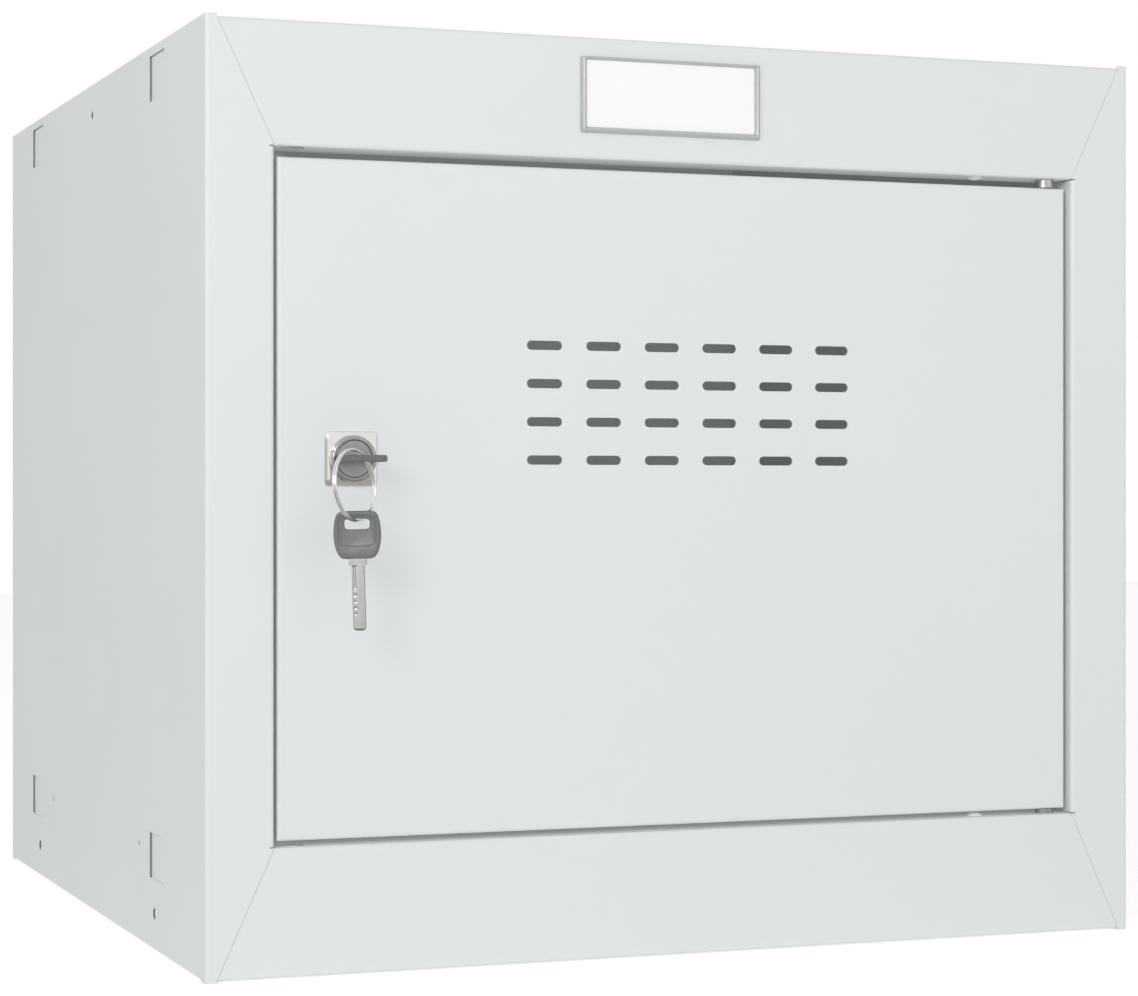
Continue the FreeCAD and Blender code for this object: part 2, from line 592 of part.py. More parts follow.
# Cam points up when the lock is open and turns to the left behind the stop lip
cam_half = CAM_WIDTH / 2
cam_points = [
    (LOCK_X - cam_half, CAM_Y, LOCK_Z - cam_half), (LOCK_X + cam_half, CAM_Y, LOCK_Z - cam_half),
    (LOCK_X + cam_half, CAM_Y, LOCK_Z + 8.0), (LOCK_X + cam_half - 1.5, CAM_Y, LOCK_Z + CAM_REACH),
    (LOCK_X - cam_half + 1.5, CAM_Y, LOCK_Z + CAM_REACH), (LOCK_X - cam_half, CAM_Y, LOCK_Z + 8.0)]
lock_cam = outline(cam_points, [6.0, 6.0, 0, 3.0, 3.0, 0], CAM_THICK, Vec(0, 1, 0))
lock_cam = lock_cam.cut(square_prism(TAIL_SQUARE + 0.1, 0.6, CAM_Y - 1, CAM_Y + CAM_THICK + 1))
washer_front = CAM_Y + CAM_THICK
cam_washer = on_axis(6.0, washer_front, washer_front + SHEET)
cam_washer = cam_washer.cut(on_axis(BOLT_R + 0.1, washer_front - 1, washer_front + 3))
head_front = washer_front + SHEET
bolt_points = []
for corner in range(6):
    angle = math.radians(60 * corner)
    reach = 7.0 / math.sqrt(3)
    bolt_points.append((LOCK_X + reach * math.cos(angle), head_front, LOCK_Z + reach * math.sin(angle)))
cam_bolt = outline(bolt_points, [0] * 6, 2.8, Vec(0, 1, 0))
cam_bolt = cam_bolt.fuse(on_axis(BOLT_R, KEYWAY_END + 0.6, head_front + 0.5)).removeSplitter()


# Key in its own frame: x across, y from the bow's far end to the tip, z through the thickness
def key_pair():
    half = BOW_THICK / 2
    low = -half
    top_half = BOW_HALF - 1.1
    end_half = BOW_HALF - 2.6
    middle = BOW_LENGTH / 2
    bow_points = [(-top_half, 0, low), (top_half, 0, low), (BOW_HALF, middle, low),
                  (end_half, BOW_LENGTH, low), (-end_half, BOW_LENGTH, low), (-BOW_HALF, middle, low)]
    top_round = 0.24 * BOW_LENGTH
    side_round = 0.9 * BOW_LENGTH
    end_round = 0.14 * BOW_LENGTH
    bow_rounds = [top_round, top_round, side_round, end_round, end_round, side_round]
    bow = outline(bow_points, bow_rounds, BOW_THICK, Vec(0, 0, 1))
    rims = [edge for edge in bow.Edges
            if edge.BoundBox.ZMax < low + 0.01 or edge.BoundBox.ZMin > half - 0.01]
    bow = bow.makeFillet(0.45, rims)
    slot_low = BOW_RIM
    slot_high = BOW_RIM + BOW_SLOT_WIDTH
    slot_half = BOW_SLOT_LENGTH / 2
    slot_points = [(-slot_half, slot_low, low - 1), (slot_half, slot_low, low - 1),
                   (slot_half, slot_high, low - 1), (-slot_half, slot_high, low - 1)]
    bow = bow.cut(outline(slot_points, [1.4] * 4, BOW_THICK + 2, Vec(0, 0, 1)))
    inset = 1.6
    floor_z = half - BOW_PANEL_DEPTH
    panel_end = 0.7 * BOW_LENGTH
    panel_tip = panel_end + 1.0
    panel_points = [(-top_half + inset, inset, floor_z), (top_half - inset, inset, floor_z),
                    (BOW_HALF - inset, middle, floor_z), (end_half, panel_end, floor_z),
                    (0, panel_tip, floor_z), (-end_half, panel_end, floor_z),
                    (-BOW_HALF + inset, middle, floor_z)]
    panel_rounds = [top_round * 0.7, top_round * 0.7, 3.0, 1.2, 20.0, 1.2, 3.0]
    panel = outline(panel_points, panel_rounds, BOW_THICK, Vec(0, 0, 1))
    bow = bow.cut(panel).cut(panel.mirror(Vec(0, 0, 0), Vec(0, 0, 1)))
    blade_half = BLADE_WIDTH / 2
    thin = -BLADE_THICK / 2
    tang = 6.0
    tang_half = 2.2
    shoulder_end = BOW_LENGTH + SHOULDER_LENGTH
    tip = shoulder_end + BLADE_LENGTH
    shoulder_half = SHOULDER_WIDTH / 2
    pocket = box(-tang_half, tang_half, BOW_LENGTH - tang, BOW_LENGTH + 1, thin * 0.6, -thin * 0.6)
    bow = bow.cut(pocket)
    blade = box(-blade_half, blade_half, shoulder_end - 0.2, tip, thin, -thin)
    tip_edges = [edge for edge in blade.Edges
                 if edge.BoundBox.YMin > tip - 0.01 and edge.BoundBox.ZLength > 1]
    blade = blade.makeChamfer(0.9, tip_edges)
    shoulder = box(-shoulder_half, shoulder_half, BOW_LENGTH, shoulder_end, thin, -thin)
    root = box(-tang_half, tang_half, BOW_LENGTH - tang, BOW_LENGTH + 0.2, thin * 0.6, -thin * 0.6)
    blade = blade.fuse([shoulder, root]).removeSplitter()
    for sign in (-1, 1):
        groove_x = sign * 1.35
        groove = box(groove_x - 0.4, groove_x + 0.4, shoulder_end, shoulder_end + 9.0,
                     -thin - 0.35, -thin + 1)
        if sign < 0:
            groove = groove.mirror(Vec(0, 0, 0), Vec(0, 0, 1))
        blade = blade.cut(groove)
        for place, depth in ((11.2, 0.3), (13.6, 0.2), (16.0, 0.3), (18.2, 0.25)):
            dimple = Part.makeCone(0.75, 0.2, depth, Vec(groove_x, shoulder_end + place, -thin),
                                   Vec(0, 0, -1))
            if sign < 0:
                dimple = dimple.mirror(Vec(0, 0, 0), Vec(0, 0, 1))
            blade = blade.cut(dimple)
    return blade, bow


def placed(shape, x_axis, y_axis, origin):
    z_axis = x_axis.cross(y_axis)
    matrix = FreeCAD.Matrix(x_axis.x, y_axis.x, z_axis.x, origin.x,
                            x_axis.y, y_axis.y, z_axis.y, origin.y,
                            x_axis.z, y_axis.z, z_axis.z, origin.z, 0, 0, 0, 1)
    moved = shape.copy()
    moved.Placement = FreeCAD.Placement(matrix).multiply(moved.Placement)
    return moved


plain_blade, plain_bow = key_pair()
BOW_FAR_Y = PLUG_Y - KEY_STANDOFF - BOW_LENGTH
key_origin = Vec(LOCK_X, BOW_FAR_Y, LOCK_Z)
key_blade = placed(plain_blade, Vec(1, 0, 0), Vec(0, 1, 0), key_origin)
key_bow = placed(plain_bow, Vec(1, 0, 0), Vec(0, 1, 0), key_origin)

# Split ring through the slot of the key in the lock
yaw = math.radians(RING_YAW)
ring_along = Vec(math.cos(yaw), math.sin(yaw), 0)
ring_lean = math.radians(RING_LEAN)
ring_back = Vec(-math.sin(yaw), math.cos(yaw), 0)
ring_up = Vec(0, 0, 1) * math.cos(ring_lean) + ring_back * math.sin(ring_lean)
ring_normal = ring_up.cross(ring_along)
slot_y = BOW_FAR_Y + BOW_RIM + BOW_SLOT_WIDTH / 2 + RING_BACK_FROM_SLOT
crossing = math.radians(RING_CROSSING)
to_slot = ring_along * math.sin(crossing) + ring_up * math.cos(crossing)
ring_centre = Vec(LOCK_X + RING_RIGHT_OF_AXIS, slot_y, LOCK_Z) - to_slot * RING_R


def coil(offset):
    centre = ring_centre + ring_normal * offset
    return Part.makeTorus(RING_R, RING_WIRE_R, centre, ring_normal)


split_ring = coil(-RING_COIL_STEP).fuse(coil(RING_COIL_STEP)).removeSplitter()
for angle, offset in ((-65.0, -0.75), (-120.0, 0.75)):
    turn = math.radians(angle)
    spot = ring_centre + ring_along * (RING_R * math.sin(turn)) + ring_up * (RING_R * math.cos(turn))
    spot = spot + ring_normal * offset
    split_ring = split_ring.cut(Part.makeSphere(0.5, spot))

# Spare key hanging on the lowest part of the ring
spare_yaw = math.radians(SPARE_YAW)
lean = math.radians(SPARE_LEAN)
level = Vec(math.cos(spare_yaw), math.sin(spare_yaw), 0)
down = Vec(0, 0, -1)
spare_y = down * math.cos(lean) + level * math.sin(lean)
spare_x = level * math.cos(lean) - down * math.sin(lean)
hang = ring_centre - ring_up * RING_R
slot_rest = hang + Vec(0, 0, RING_WIRE_R + SPARE_PLAY)
spare_origin = slot_rest - spare_y * BOW_RIM + spare_x * SPARE_ASIDE
spare_key_blade = placed(plain_blade, spare_x, spare_y, spare_origin)
spare_key_bow = placed(plain_bow, spare_x, spare_y, spare_origin)

# Shared frame: the origin is the middle of the whole footprint, on the ground
ring_front = ring_centre.y - RING_R * math.sqrt(1 - ring_normal.y ** 2) - RING_WIRE_R
ring_front -= abs(ring_normal.y) * RING_COIL_STEP
SHIFT_BACK = -(ring_front + REAR) / 2

nodes = {
    "left_side_panel": left_side_panel,
    "right_side_panel": right_side_panel,
    "top_panel": top_panel,
    "floor_panel": floor_panel,
    "back_panel": back_panel,
    "upper_hinge_plate": upper_hinge_plate,
    "lower_hinge_plate": lower_hinge_plate,
    "upper_hinge_pin": upper_hinge_pin,
    "lower_hinge_pin": lower_hinge_pin,
    "upper_hinge_rivet": upper_hinge_rivet,
    "lower_hinge_rivet": lower_hinge_rivet,
    "label_frame": label_frame,
    "label_card": label_card,
    "upper_door_buffer": upper_door_buffer,
    "lower_door_buffer": lower_door_buffer,
    "door_pan": door_pan,
    "door_stiffener": door_stiffener,
    "upper_hinge_bush": upper_hinge_bush,
    "lower_hinge_bush": lower_hinge_bush,
    "lock_housing": lock_housing,
    "lock_washer": lock_washer,
    "lock_nut": lock_nut,
    "lock_plug": lock_plug,
    "lock_cam": lock_cam,
    "cam_washer": cam_washer,
    "cam_bolt": cam_bolt,
    "key_blade": key_blade,
    "key_bow": key_bow,
    "split_ring": split_ring,
    "spare_key_blade": spare_key_blade,
    "spare_key_bow": spare_key_bow,
}
for name, shape in nodes.items():
    shape = shape.translated(Vec(0, SHIFT_BACK, 0))
    if len(shape.Solids) == 1:
        shape = shape.Solids[0]
    print(name, "solids", len(shape.Solids), "valid", shape.isValid(), "volume", round(shape.Volume, 2))
    shape.exportStep("parts/" + name + ".step")

print("shift back", SHIFT_BACK)
print("ring centre", ring_centre + Vec(0, SHIFT_BACK, 0), "along", ring_along)
print("hang point", hang + Vec(0, SHIFT_BACK, 0))
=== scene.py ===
import json
import math

import bpy
import numpy as np
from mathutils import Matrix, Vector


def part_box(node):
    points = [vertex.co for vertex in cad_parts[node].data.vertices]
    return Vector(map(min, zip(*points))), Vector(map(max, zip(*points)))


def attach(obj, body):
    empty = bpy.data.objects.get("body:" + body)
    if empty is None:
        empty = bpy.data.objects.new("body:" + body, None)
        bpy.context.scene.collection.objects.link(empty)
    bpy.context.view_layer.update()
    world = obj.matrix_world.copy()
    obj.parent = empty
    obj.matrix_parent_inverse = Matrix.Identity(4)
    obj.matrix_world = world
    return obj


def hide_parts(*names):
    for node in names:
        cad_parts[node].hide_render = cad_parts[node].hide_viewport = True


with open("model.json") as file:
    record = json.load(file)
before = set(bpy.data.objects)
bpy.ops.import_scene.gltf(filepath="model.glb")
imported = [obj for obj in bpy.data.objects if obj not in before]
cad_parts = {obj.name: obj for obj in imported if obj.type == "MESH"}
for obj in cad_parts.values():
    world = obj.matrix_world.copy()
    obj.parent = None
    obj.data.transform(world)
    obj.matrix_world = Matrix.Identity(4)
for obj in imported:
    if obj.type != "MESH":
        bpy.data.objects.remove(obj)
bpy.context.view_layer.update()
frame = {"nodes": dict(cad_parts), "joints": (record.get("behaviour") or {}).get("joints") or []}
NODES = frame["nodes"]
JOINTS = {joint["name"]: joint for joint in frame["joints"]}
LOCK_AXIS = np.array(JOINTS["lock_turn"]["pos_m"])
MM = 0.001
PANELS = ("left_side_panel", "right_side_panel", "top_panel", "floor_panel", "back_panel", "door_pan",
          "door_stiffener")

bl_info = {
    "name": "Cube locker dressing",
    "version": (1, 0, 0),
    "blender": (4, 5, 0),
    "location": "View3D > Sidebar > Locker",
    "description": "Paints the folded steel locker and adds its lock, keys, ring and trim",
    "category": "Object",
}

# Settings a user would change

def colour_setting(name, description, default):
    """Colour property with its name, description and default."""
    return bpy.props.FloatVectorProperty(
        name=name, description=description, subtype="COLOR", size=3, min=0.0, max=1.0, default=default)


class LockerFinish(bpy.types.PropertyGroup):
    """Colours of the locker's surfaces."""

    paint: colour_setting("Paint", "Powder coat on all folded sheet", (0.755, 0.787, 0.793))
    chrome: colour_setting("Chrome", "Plated plate and barrel of the lock", (0.80, 0.79, 0.77))
    core: colour_setting("Lock core", "Satin die-cast plug and rim", (0.42, 0.42, 0.415))
    key_plastic: colour_setting("Key plastic", "Moulded head of each key", (0.150, 0.158, 0.166))
    key_metal: colour_setting("Key metal", "Nickel on the key blades", (0.405, 0.415, 0.390))
    ring: colour_setting("Ring steel", "Polished wire of the split ring", (0.82, 0.82, 0.81))
    holder: colour_setting("Label holder", "Silver label holder", (0.50, 0.515, 0.52))
    card: colour_setting("Card", "Blank card in the holder", (0.955, 0.96, 0.972))
    plated: colour_setting("Plated steel", "Zinc plated hinge plates, cam and nuts", (0.62, 0.63, 0.62))
    bright: colour_setting("Bright steel", "Turned hinge pins and rivets", (0.52, 0.52, 0.51))
    rubber: colour_setting("Rubber", "Door buffers", (0.035, 0.035, 0.036))
    bush: colour_setting("Bush plastic", "Nylon hinge bushes", (0.72, 0.72, 0.70))

class LockerStage(bpy.types.PropertyGroup):
    """Camera, light and floor around the locker."""

    camera_x: bpy.props.FloatProperty(
        name="Camera aside", description="Where the camera stands along the front", unit="LENGTH",
        default=-0.4628)
    camera_off: bpy.props.FloatProperty(
        name="Camera distance", description="Distance of the camera in front of the locker's frame",
        unit="LENGTH", default=1.0496)
    camera_z: bpy.props.FloatProperty(
        name="Camera height", description="Height of the camera above the floor", unit="LENGTH",
        default=0.1843)
    camera_turn: bpy.props.FloatProperty(
        name="Camera turn", description="Turn of the level camera to the right of straight ahead",
        subtype="ANGLE", unit="ROTATION", default=math.radians(20.03))
    lens: bpy.props.FloatProperty(
        name="Lens", description="Focal length on a 36 mm wide sensor", unit="CAMERA", default=90.69)
    shift_x: bpy.props.FloatProperty(
        name="Shift X", description="Sideways shift of the frame", default=0.0561)
    shift_y: bpy.props.FloatProperty(
        name="Shift Y", description="Upward shift of the frame", default=-0.0038)
    sky: bpy.props.FloatProperty(
        name="Surround light", description="Strength of the even light from all round",
        min=0.0, default=0.47)
    key_power: bpy.props.FloatProperty(
        name="Key light", description="Power of the soft light on the left", unit="POWER",
        min=0.0, default=28.4)
    key_shadow: bpy.props.FloatProperty(
        name="Key shadow", description="Share of the left light that the keys and the lock hold off",
        subtype="FACTOR", min=0.0, max=1.0, default=0.32)
    fill_power: bpy.props.FloatProperty(
        name="Fill light", description="Power of the wide light in front", unit="POWER",
        min=0.0, default=7.2)
    lift_up: bpy.props.FloatProperty(
        name="Lift from below", description="Even light on surfaces that look down, through all shadow",
        min=0.0, default=0.46)
    lift_down: bpy.props.FloatProperty(
        name="Lift from above", description="Even light on surfaces that look up, through all shadow",
        min=0.0, default=0.27)
    lift_gap: bpy.props.FloatProperty(
        name="Lift of the sheet", description="Even light on painted sheet in its gaps, through all shadow",
        min=0.0, default=0.18)
    floor_glow: bpy.props.FloatProperty(
        name="Floor white", description="Share of plain white that the camera sees on the floor",
        subtype="FACTOR", min=0.0, max=1.0, default=0.45)

# Node helpers

def add_node(tree, kind, inputs=None, **settings):
    """Adds one node; inputs maps a socket's name or number to a value or to another node's output."""
    node = tree.nodes.new(kind)
    for key, value in settings.items():
        setattr(node, key, value)
    for key, value in (inputs or {}).items():
        socket = node.inputs[key]
        if isinstance(value, bpy.types.NodeSocket):
            tree.links.new(value, socket)
        else:
            socket.default_value = value
    return node


def math_node(tree, operation, *values, clamp=False):
    return add_node(tree, "ShaderNodeMath", dict(enumerate(values)),
                    operation=operation, use_clamp=clamp).outputs[0]


def remap(tree, value, low, high, to_low, to_high, smooth=False):
    """Value carried from one span to another and held at its ends."""
    node = add_node(tree, "ShaderNodeMapRange",
                    {"Value": value, "From Min": low, "From Max": high,
                     "To Min": to_low, "To Max": to_high},
                    interpolation_type="SMOOTHSTEP" if smooth else "LINEAR", clamp=True)
    return node.outputs["Result"]


def noise(tree, vector, scale, detail=2.0, roughness=0.5):
    node = add_node(tree, "ShaderNodeTexNoise",
                    {"Vector": vector, "Scale": scale, "Detail": detail, "Roughness": roughness})
    return node.outputs[0]


def new_group(name, inputs, outputs):
    """Empty shader group; inputs gives each socket's kind and default, outputs each socket's kind."""
    tree = bpy.data.node_groups.new(name, "ShaderNodeTree")
    for socket_name, (kind, default) in inputs.items():
        socket = tree.interface.new_socket(socket_name, in_out="INPUT", socket_type=kind)
        if default is not None:
            socket.default_value = default
    for socket_name, kind in outputs.items():
        tree.interface.new_socket(socket_name, in_out="OUTPUT", socket_type=kind)
    entry = tree.nodes.new("NodeGroupInput")
    leave = tree.nodes.new("NodeGroupOutput")
    return tree, entry.outputs, leave.inputs


VECTOR = "NodeSocketVector"
FLOAT = "NodeSocketFloat"
TEXTURE_OUT = {"Shade": FLOAT, "Polish": FLOAT, "Height": FLOAT}


def powder_group():
    """Powder coat: peel of Grain metres, a finer grit, and wide soft clouds from the spray."""
    tree, entry, leave = new_group("powder coat", {
        "Vector": (VECTOR, None), "Grain": (FLOAT, 0.0016), "Peel": (FLOAT, 0.000012)}, TEXTURE_OUT)
    scale = math_node(tree, "DIVIDE", 1.0, entry["Grain"])
    peel = noise(tree, entry["Vector"], scale, 2.0)
    grit = noise(tree, entry["Vector"], math_node(tree, "MULTIPLY", scale, 5.0), 1.0)
    cloud = noise(tree, entry["Vector"], 9.0, 3.0)
    height = math_node(tree, "ADD", peel, math_node(tree, "MULTIPLY", grit, 0.25))
    tree.links.new(math_node(tree, "MULTIPLY", height, entry["Peel"]), leave["Height"])
    speck = remap(tree, grit, 0.35, 0.75, 0.0, 0.35)
    tree.links.new(math_node(tree, "ADD", remap(tree, cloud, 0.3, 0.7, 0.0, 0.65), speck),
                   leave["Shade"])
    tree.links.new(remap(tree, math_node(tree, "ADD", cloud, peel), 0.7, 1.3, 0.0, 1.0),
                   leave["Polish"])
    return tree


def lathe_group():
    """Turning marks: rings about the lock's axis, from noise on the distance to that axis."""
    tree, entry, leave = new_group("turning marks", {
        "Vector": (VECTOR, None), "Pitch": (FLOAT, 0.00018), "Depth": (FLOAT, 0.000004)}, TEXTURE_OUT)
    centred = add_node(tree, "ShaderNodeVectorMath",
                       {0: entry["Vector"], 1: (LOCK_AXIS[0], 0.0, LOCK_AXIS[2])}, operation="SUBTRACT")
    flat = add_node(tree, "ShaderNodeVectorMath",
                    {0: centred.outputs[0], 1: (1.0, 0.0, 1.0)}, operation="MULTIPLY")
    reach = add_node(tree, "ShaderNodeVectorMath", {0: flat.outputs[0]}, operation="LENGTH")
    lap = math_node(tree, "DIVIDE", reach.outputs["Value"], entry["Pitch"])
    rings = add_node(tree, "ShaderNodeTexNoise", {"W": lap, "Scale": 1.0, "Detail": 2.0},
                     noise_dimensions="1D").outputs[0]
    smear = noise(tree, entry["Vector"], 260.0, 3.0)
    tree.links.new(math_node(tree, "MULTIPLY", rings, entry["Depth"]), leave["Height"])
    tree.links.new(remap(tree, math_node(tree, "ADD", rings, smear), 0.7, 1.3, 0.0, 1.0),
                   leave["Shade"])
    tree.links.new(remap(tree, smear, 0.3, 0.7, 0.0, 1.0), leave["Polish"])
    return tree


def drawn_group():
    """Drawn or brushed metal: noise stretched along the third axis of the vector by Stretch."""
    tree, entry, leave = new_group("drawn lines", {
        "Vector": (VECTOR, None), "Width": (FLOAT, 0.0002), "Stretch": (FLOAT, 40.0),
        "Depth": (FLOAT, 0.000003)}, TEXTURE_OUT)
    parts = add_node(tree, "ShaderNodeSeparateXYZ", {0: entry["Vector"]}).outputs
    joined = add_node(tree, "ShaderNodeCombineXYZ", {
        0: parts[0], 1: parts[1], 2: math_node(tree, "DIVIDE", parts[2], entry["Stretch"])})
    scale = math_node(tree, "DIVIDE", 1.0, entry["Width"])
    lines = noise(tree, joined.outputs[0], scale, 2.0)
    stain = noise(tree, entry["Vector"], 180.0, 3.0)
    tree.links.new(math_node(tree, "MULTIPLY", lines, entry["Depth"]), leave["Height"])
    tree.links.new(remap(tree, math_node(tree, "ADD", lines, stain), 0.75, 1.25, 0.0, 1.0),
                   leave["Shade"])
    tree.links.new(remap(tree, stain, 0.3, 0.7, 0.0, 1.0), leave["Polish"])
    return tree


def moulded_group():
    """Moulded plastic or rubber: spark-eroded pits of Grain metres and faint flow clouds."""
    tree, entry, leave = new_group("moulded grain", {
        "Vector": (VECTOR, None), "Grain": (FLOAT, 0.00022), "Depth": (FLOAT, 0.000012)}, TEXTURE_OUT)
    scale = math_node(tree, "DIVIDE", 1.0, entry["Grain"])
    pits = add_node(tree, "ShaderNodeTexVoronoi", {"Vector": entry["Vector"], "Scale": scale},
                    feature="SMOOTH_F1").outputs["Distance"]
    flow = noise(tree, entry["Vector"], 140.0, 3.0)
    tree.links.new(math_node(tree, "MULTIPLY", pits, entry["Depth"]), leave["Height"])
    tree.links.new(remap(tree, math_node(tree, "ADD", flow, math_node(tree, "MULTIPLY", pits, 0.4)),
                         0.45, 1.0, 0.0, 1.0), leave["Shade"])
    tree.links.new(remap(tree, flow, 0.3, 0.7, 0.0, 1.0), leave["Polish"])
    return tree


def plating_group():
    """Zinc plating: flat crystal cells of Grain metres with cloudy passivation over them."""
    tree, entry, leave = new_group("plating", {
        "Vector": (VECTOR, None), "Grain": (FLOAT, 0.0025), "Depth": (FLOAT, 0.000004)}, TEXTURE_OUT)
    scale = math_node(tree, "DIVIDE", 1.0, entry["Grain"])
    cells = add_node(tree, "ShaderNodeTexVoronoi", {"Vector": entry["Vector"], "Scale": scale})
    tone = add_node(tree, "ShaderNodeSeparateColor", {0: cells.outputs["Color"]}).outputs[0]
    cloud = noise(tree, entry["Vector"], 120.0, 4.0)
    fine = noise(tree, entry["Vector"], 2500.0, 2.0)
    tree.links.new(math_node(tree, "MULTIPLY", fine, entry["Depth"]), leave["Height"])
    tree.links.new(remap(tree, math_node(tree, "ADD", math_node(tree, "MULTIPLY", tone, 0.5), cloud),
                         0.35, 1.1, 0.0, 1.0), leave["Shade"])
    tree.links.new(remap(tree, math_node(tree, "ADD", cloud, math_node(tree, "MULTIPLY", tone, 0.3)),
                         0.4, 1.0, 0.0, 1.0), leave["Polish"])
    return tree


def paper_group():
    """Card: fine fibre noise with a few longer fibres and a smooth calendered face."""
    tree, entry, leave = new_group("paper fibre", {
        "Vector": (VECTOR, None), "Grain": (FLOAT, 0.0004), "Depth": (FLOAT, 0.000006)}, TEXTURE_OUT)
    scale = math_node(tree, "DIVIDE", 1.0, entry["Grain"])
    fibre = noise(tree, entry["Vector"], scale, 4.0, 0.65)
    cloud = noise(tree, entry["Vector"], 60.0, 2.0)
    tree.links.new(math_node(tree, "MULTIPLY", fibre, entry["Depth"]), leave["Height"])
    tree.links.new(remap(tree, math_node(tree, "ADD", fibre, cloud), 0.7, 1.3, 0.0, 1.0),
                   leave["Shade"])
    tree.links.new(remap(tree, fibre, 0.3, 0.7, 0.0, 1.0), leave["Polish"])
    return tree


def edge_group():
    """Edges: a mask that is 1 where the surface turns within Radius, broken up by noise, and the
    normal rounded over the same radius."""
    tree, entry, leave = new_group("edges", {
        "Vector": (VECTOR, None), "Radius": (FLOAT, 0.0004)}, {"Mask": FLOAT, "Normal": VECTOR})
    rounded = add_node(tree, "ShaderNodeBevel", {"Radius": entry["Radius"]}, samples=4)
    plain = add_node(tree, "ShaderNodeNewGeometry")
    same = add_node(tree, "ShaderNodeVectorMath",
                    {0: rounded.outputs[0], 1: plain.outputs["Normal"]}, operation="DOT_PRODUCT")
    bent = remap(tree, same.outputs["Value"], 1.0, 0.85, 0.0, 1.0)
    broken = remap(tree, noise(tree, entry["Vector"], 900.0, 3.0), 0.3, 0.7, 0.3, 1.0)
    tree.links.new(math_node(tree, "MULTIPLY", bent, broken), leave["Mask"])
    tree.links.new(rounded.outputs[0], leave["Normal"])
    return tree


GROUPS = {}


def shared_group(name):
    """The named group, built on first use."""
    makers = {
        "powder": powder_group, "lathe": lathe_group, "drawn": drawn_group,
        "moulded": moulded_group, "plating": plating_group, "paper": paper_group,
        "edges": edge_group,
    }
    if name not in GROUPS:
        GROUPS[name] = makers[name]()
    return GROUPS[name]


def surface_material(name, colour, shade, texture, values, polish, metallic=0.0, edge=1.0,
                     edge_share=0.5, edge_radius=0.0004):
    """Material whose colour goes to shade times itself with the texture's Shade, whose roughness goes
    between the two polish values, and whose edges take edge times the colour by edge_share. An edge factor
    above 1 gives lighter edges, which are partly wear and partly a painted sheen."""
    material = bpy.data.materials.new(name)
    material.use_nodes = True
    tree = material.node_tree
    shader = tree.nodes["Principled BSDF"]
    place = add_node(tree, "ShaderNodeTexCoord").outputs["Object"]
    grain = add_node(tree, "ShaderNodeGroup", node_tree=shared_group(texture))
    tree.links.new(place, grain.inputs["Vector"])
    for key, value in values.items():
        grain.inputs[key].default_value = value
    edges = add_node(tree, "ShaderNodeGroup", node_tree=shared_group("edges"))
    tree.links.new(place, edges.inputs["Vector"])
    edges.inputs["Radius"].default_value = edge_radius
    blend = add_node(tree, "ShaderNodeMix", {0: grain.outputs["Shade"]}, data_type="RGBA")
    blend.inputs["A"].default_value = (*colour, 1.0)
    blend.inputs["B"].default_value = (*toned(colour, shade), 1.0)
    share = math_node(tree, "MULTIPLY", edges.outputs["Mask"], edge_share)
    # Edge colour: partly wear, partly a painted sheen where edge lightens the colour
    edge_wear_and_sheen = add_node(tree, "ShaderNodeMix", {0: share}, data_type="RGBA")
    tree.links.new(blend.outputs["Result"], edge_wear_and_sheen.inputs["A"])
    edge_wear_and_sheen.inputs["B"].default_value = (*toned(colour, edge), 1.0)
    tree.links.new(edge_wear_and_sheen.outputs["Result"], shader.inputs["Base Color"])
    tree.links.new(remap(tree, grain.outputs["Polish"], 0.0, 1.0, polish[0], polish[1]),
                   shader.inputs["Roughness"])
    bump = add_node(tree, "ShaderNodeBump", {
        "Strength": 1.0, "Distance": 1.0, "Height": grain.outputs["Height"],
        "Normal": edges.outputs["Normal"]})
    tree.links.new(bump.outputs["Normal"], shader.inputs["Normal"])
    shader.inputs["Metallic"].default_value = metallic
    return material


def toned(colour, factor):
    """Colour times a factor, held at 1."""
    return tuple(min(channel * factor, 1.0) for channel in colour)


def dress(names, material):
    """Gives CAD nodes their material in every slot."""
    for name in names:
        mesh = NODES[name].data
        if not mesh.materials:
            mesh.materials.append(material)
        for index in range(len(mesh.materials)):
            mesh.materials[index] = material

# Surfaces

def grid_faces(rows, columns, closed):
    """Corner numbers of the quads of a grid whose columns run round, and of the fans on its end rows
    where the rows aren't closed as well."""
    index = np.arange(rows * columns).reshape(rows, columns)
    near = index if closed else index[:-1]
    far = np.roll(index, -1, axis=0) if closed else index[1:]
    quads = np.stack([near, np.roll(near, -1, 1), np.roll(far, -1, 1), far], axis=-1).reshape(-1, 4)
    if closed:
        return quads, np.zeros((0, 3), int)
    first = np.full(columns, rows * columns)
    start = np.stack([np.roll(index[0], -1), index[0], first], axis=-1)
    finish = np.stack([index[-1], np.roll(index[-1], -1), first + 1], axis=-1)
    return quads, np.concatenate([start, finish])


def enclosed(points, quads, fans):
    """Volume inside the faces by the divergence sum, negative where they look inwards."""
    triangles = np.concatenate([quads[:, [0, 1, 2]], quads[:, [0, 2, 3]], fans])
    a, b, c = (points[triangles[:, corner]] for corner in range(3))
    return float(np.einsum("ij,ij->i", a, np.cross(b, c)).sum()) / 6.0


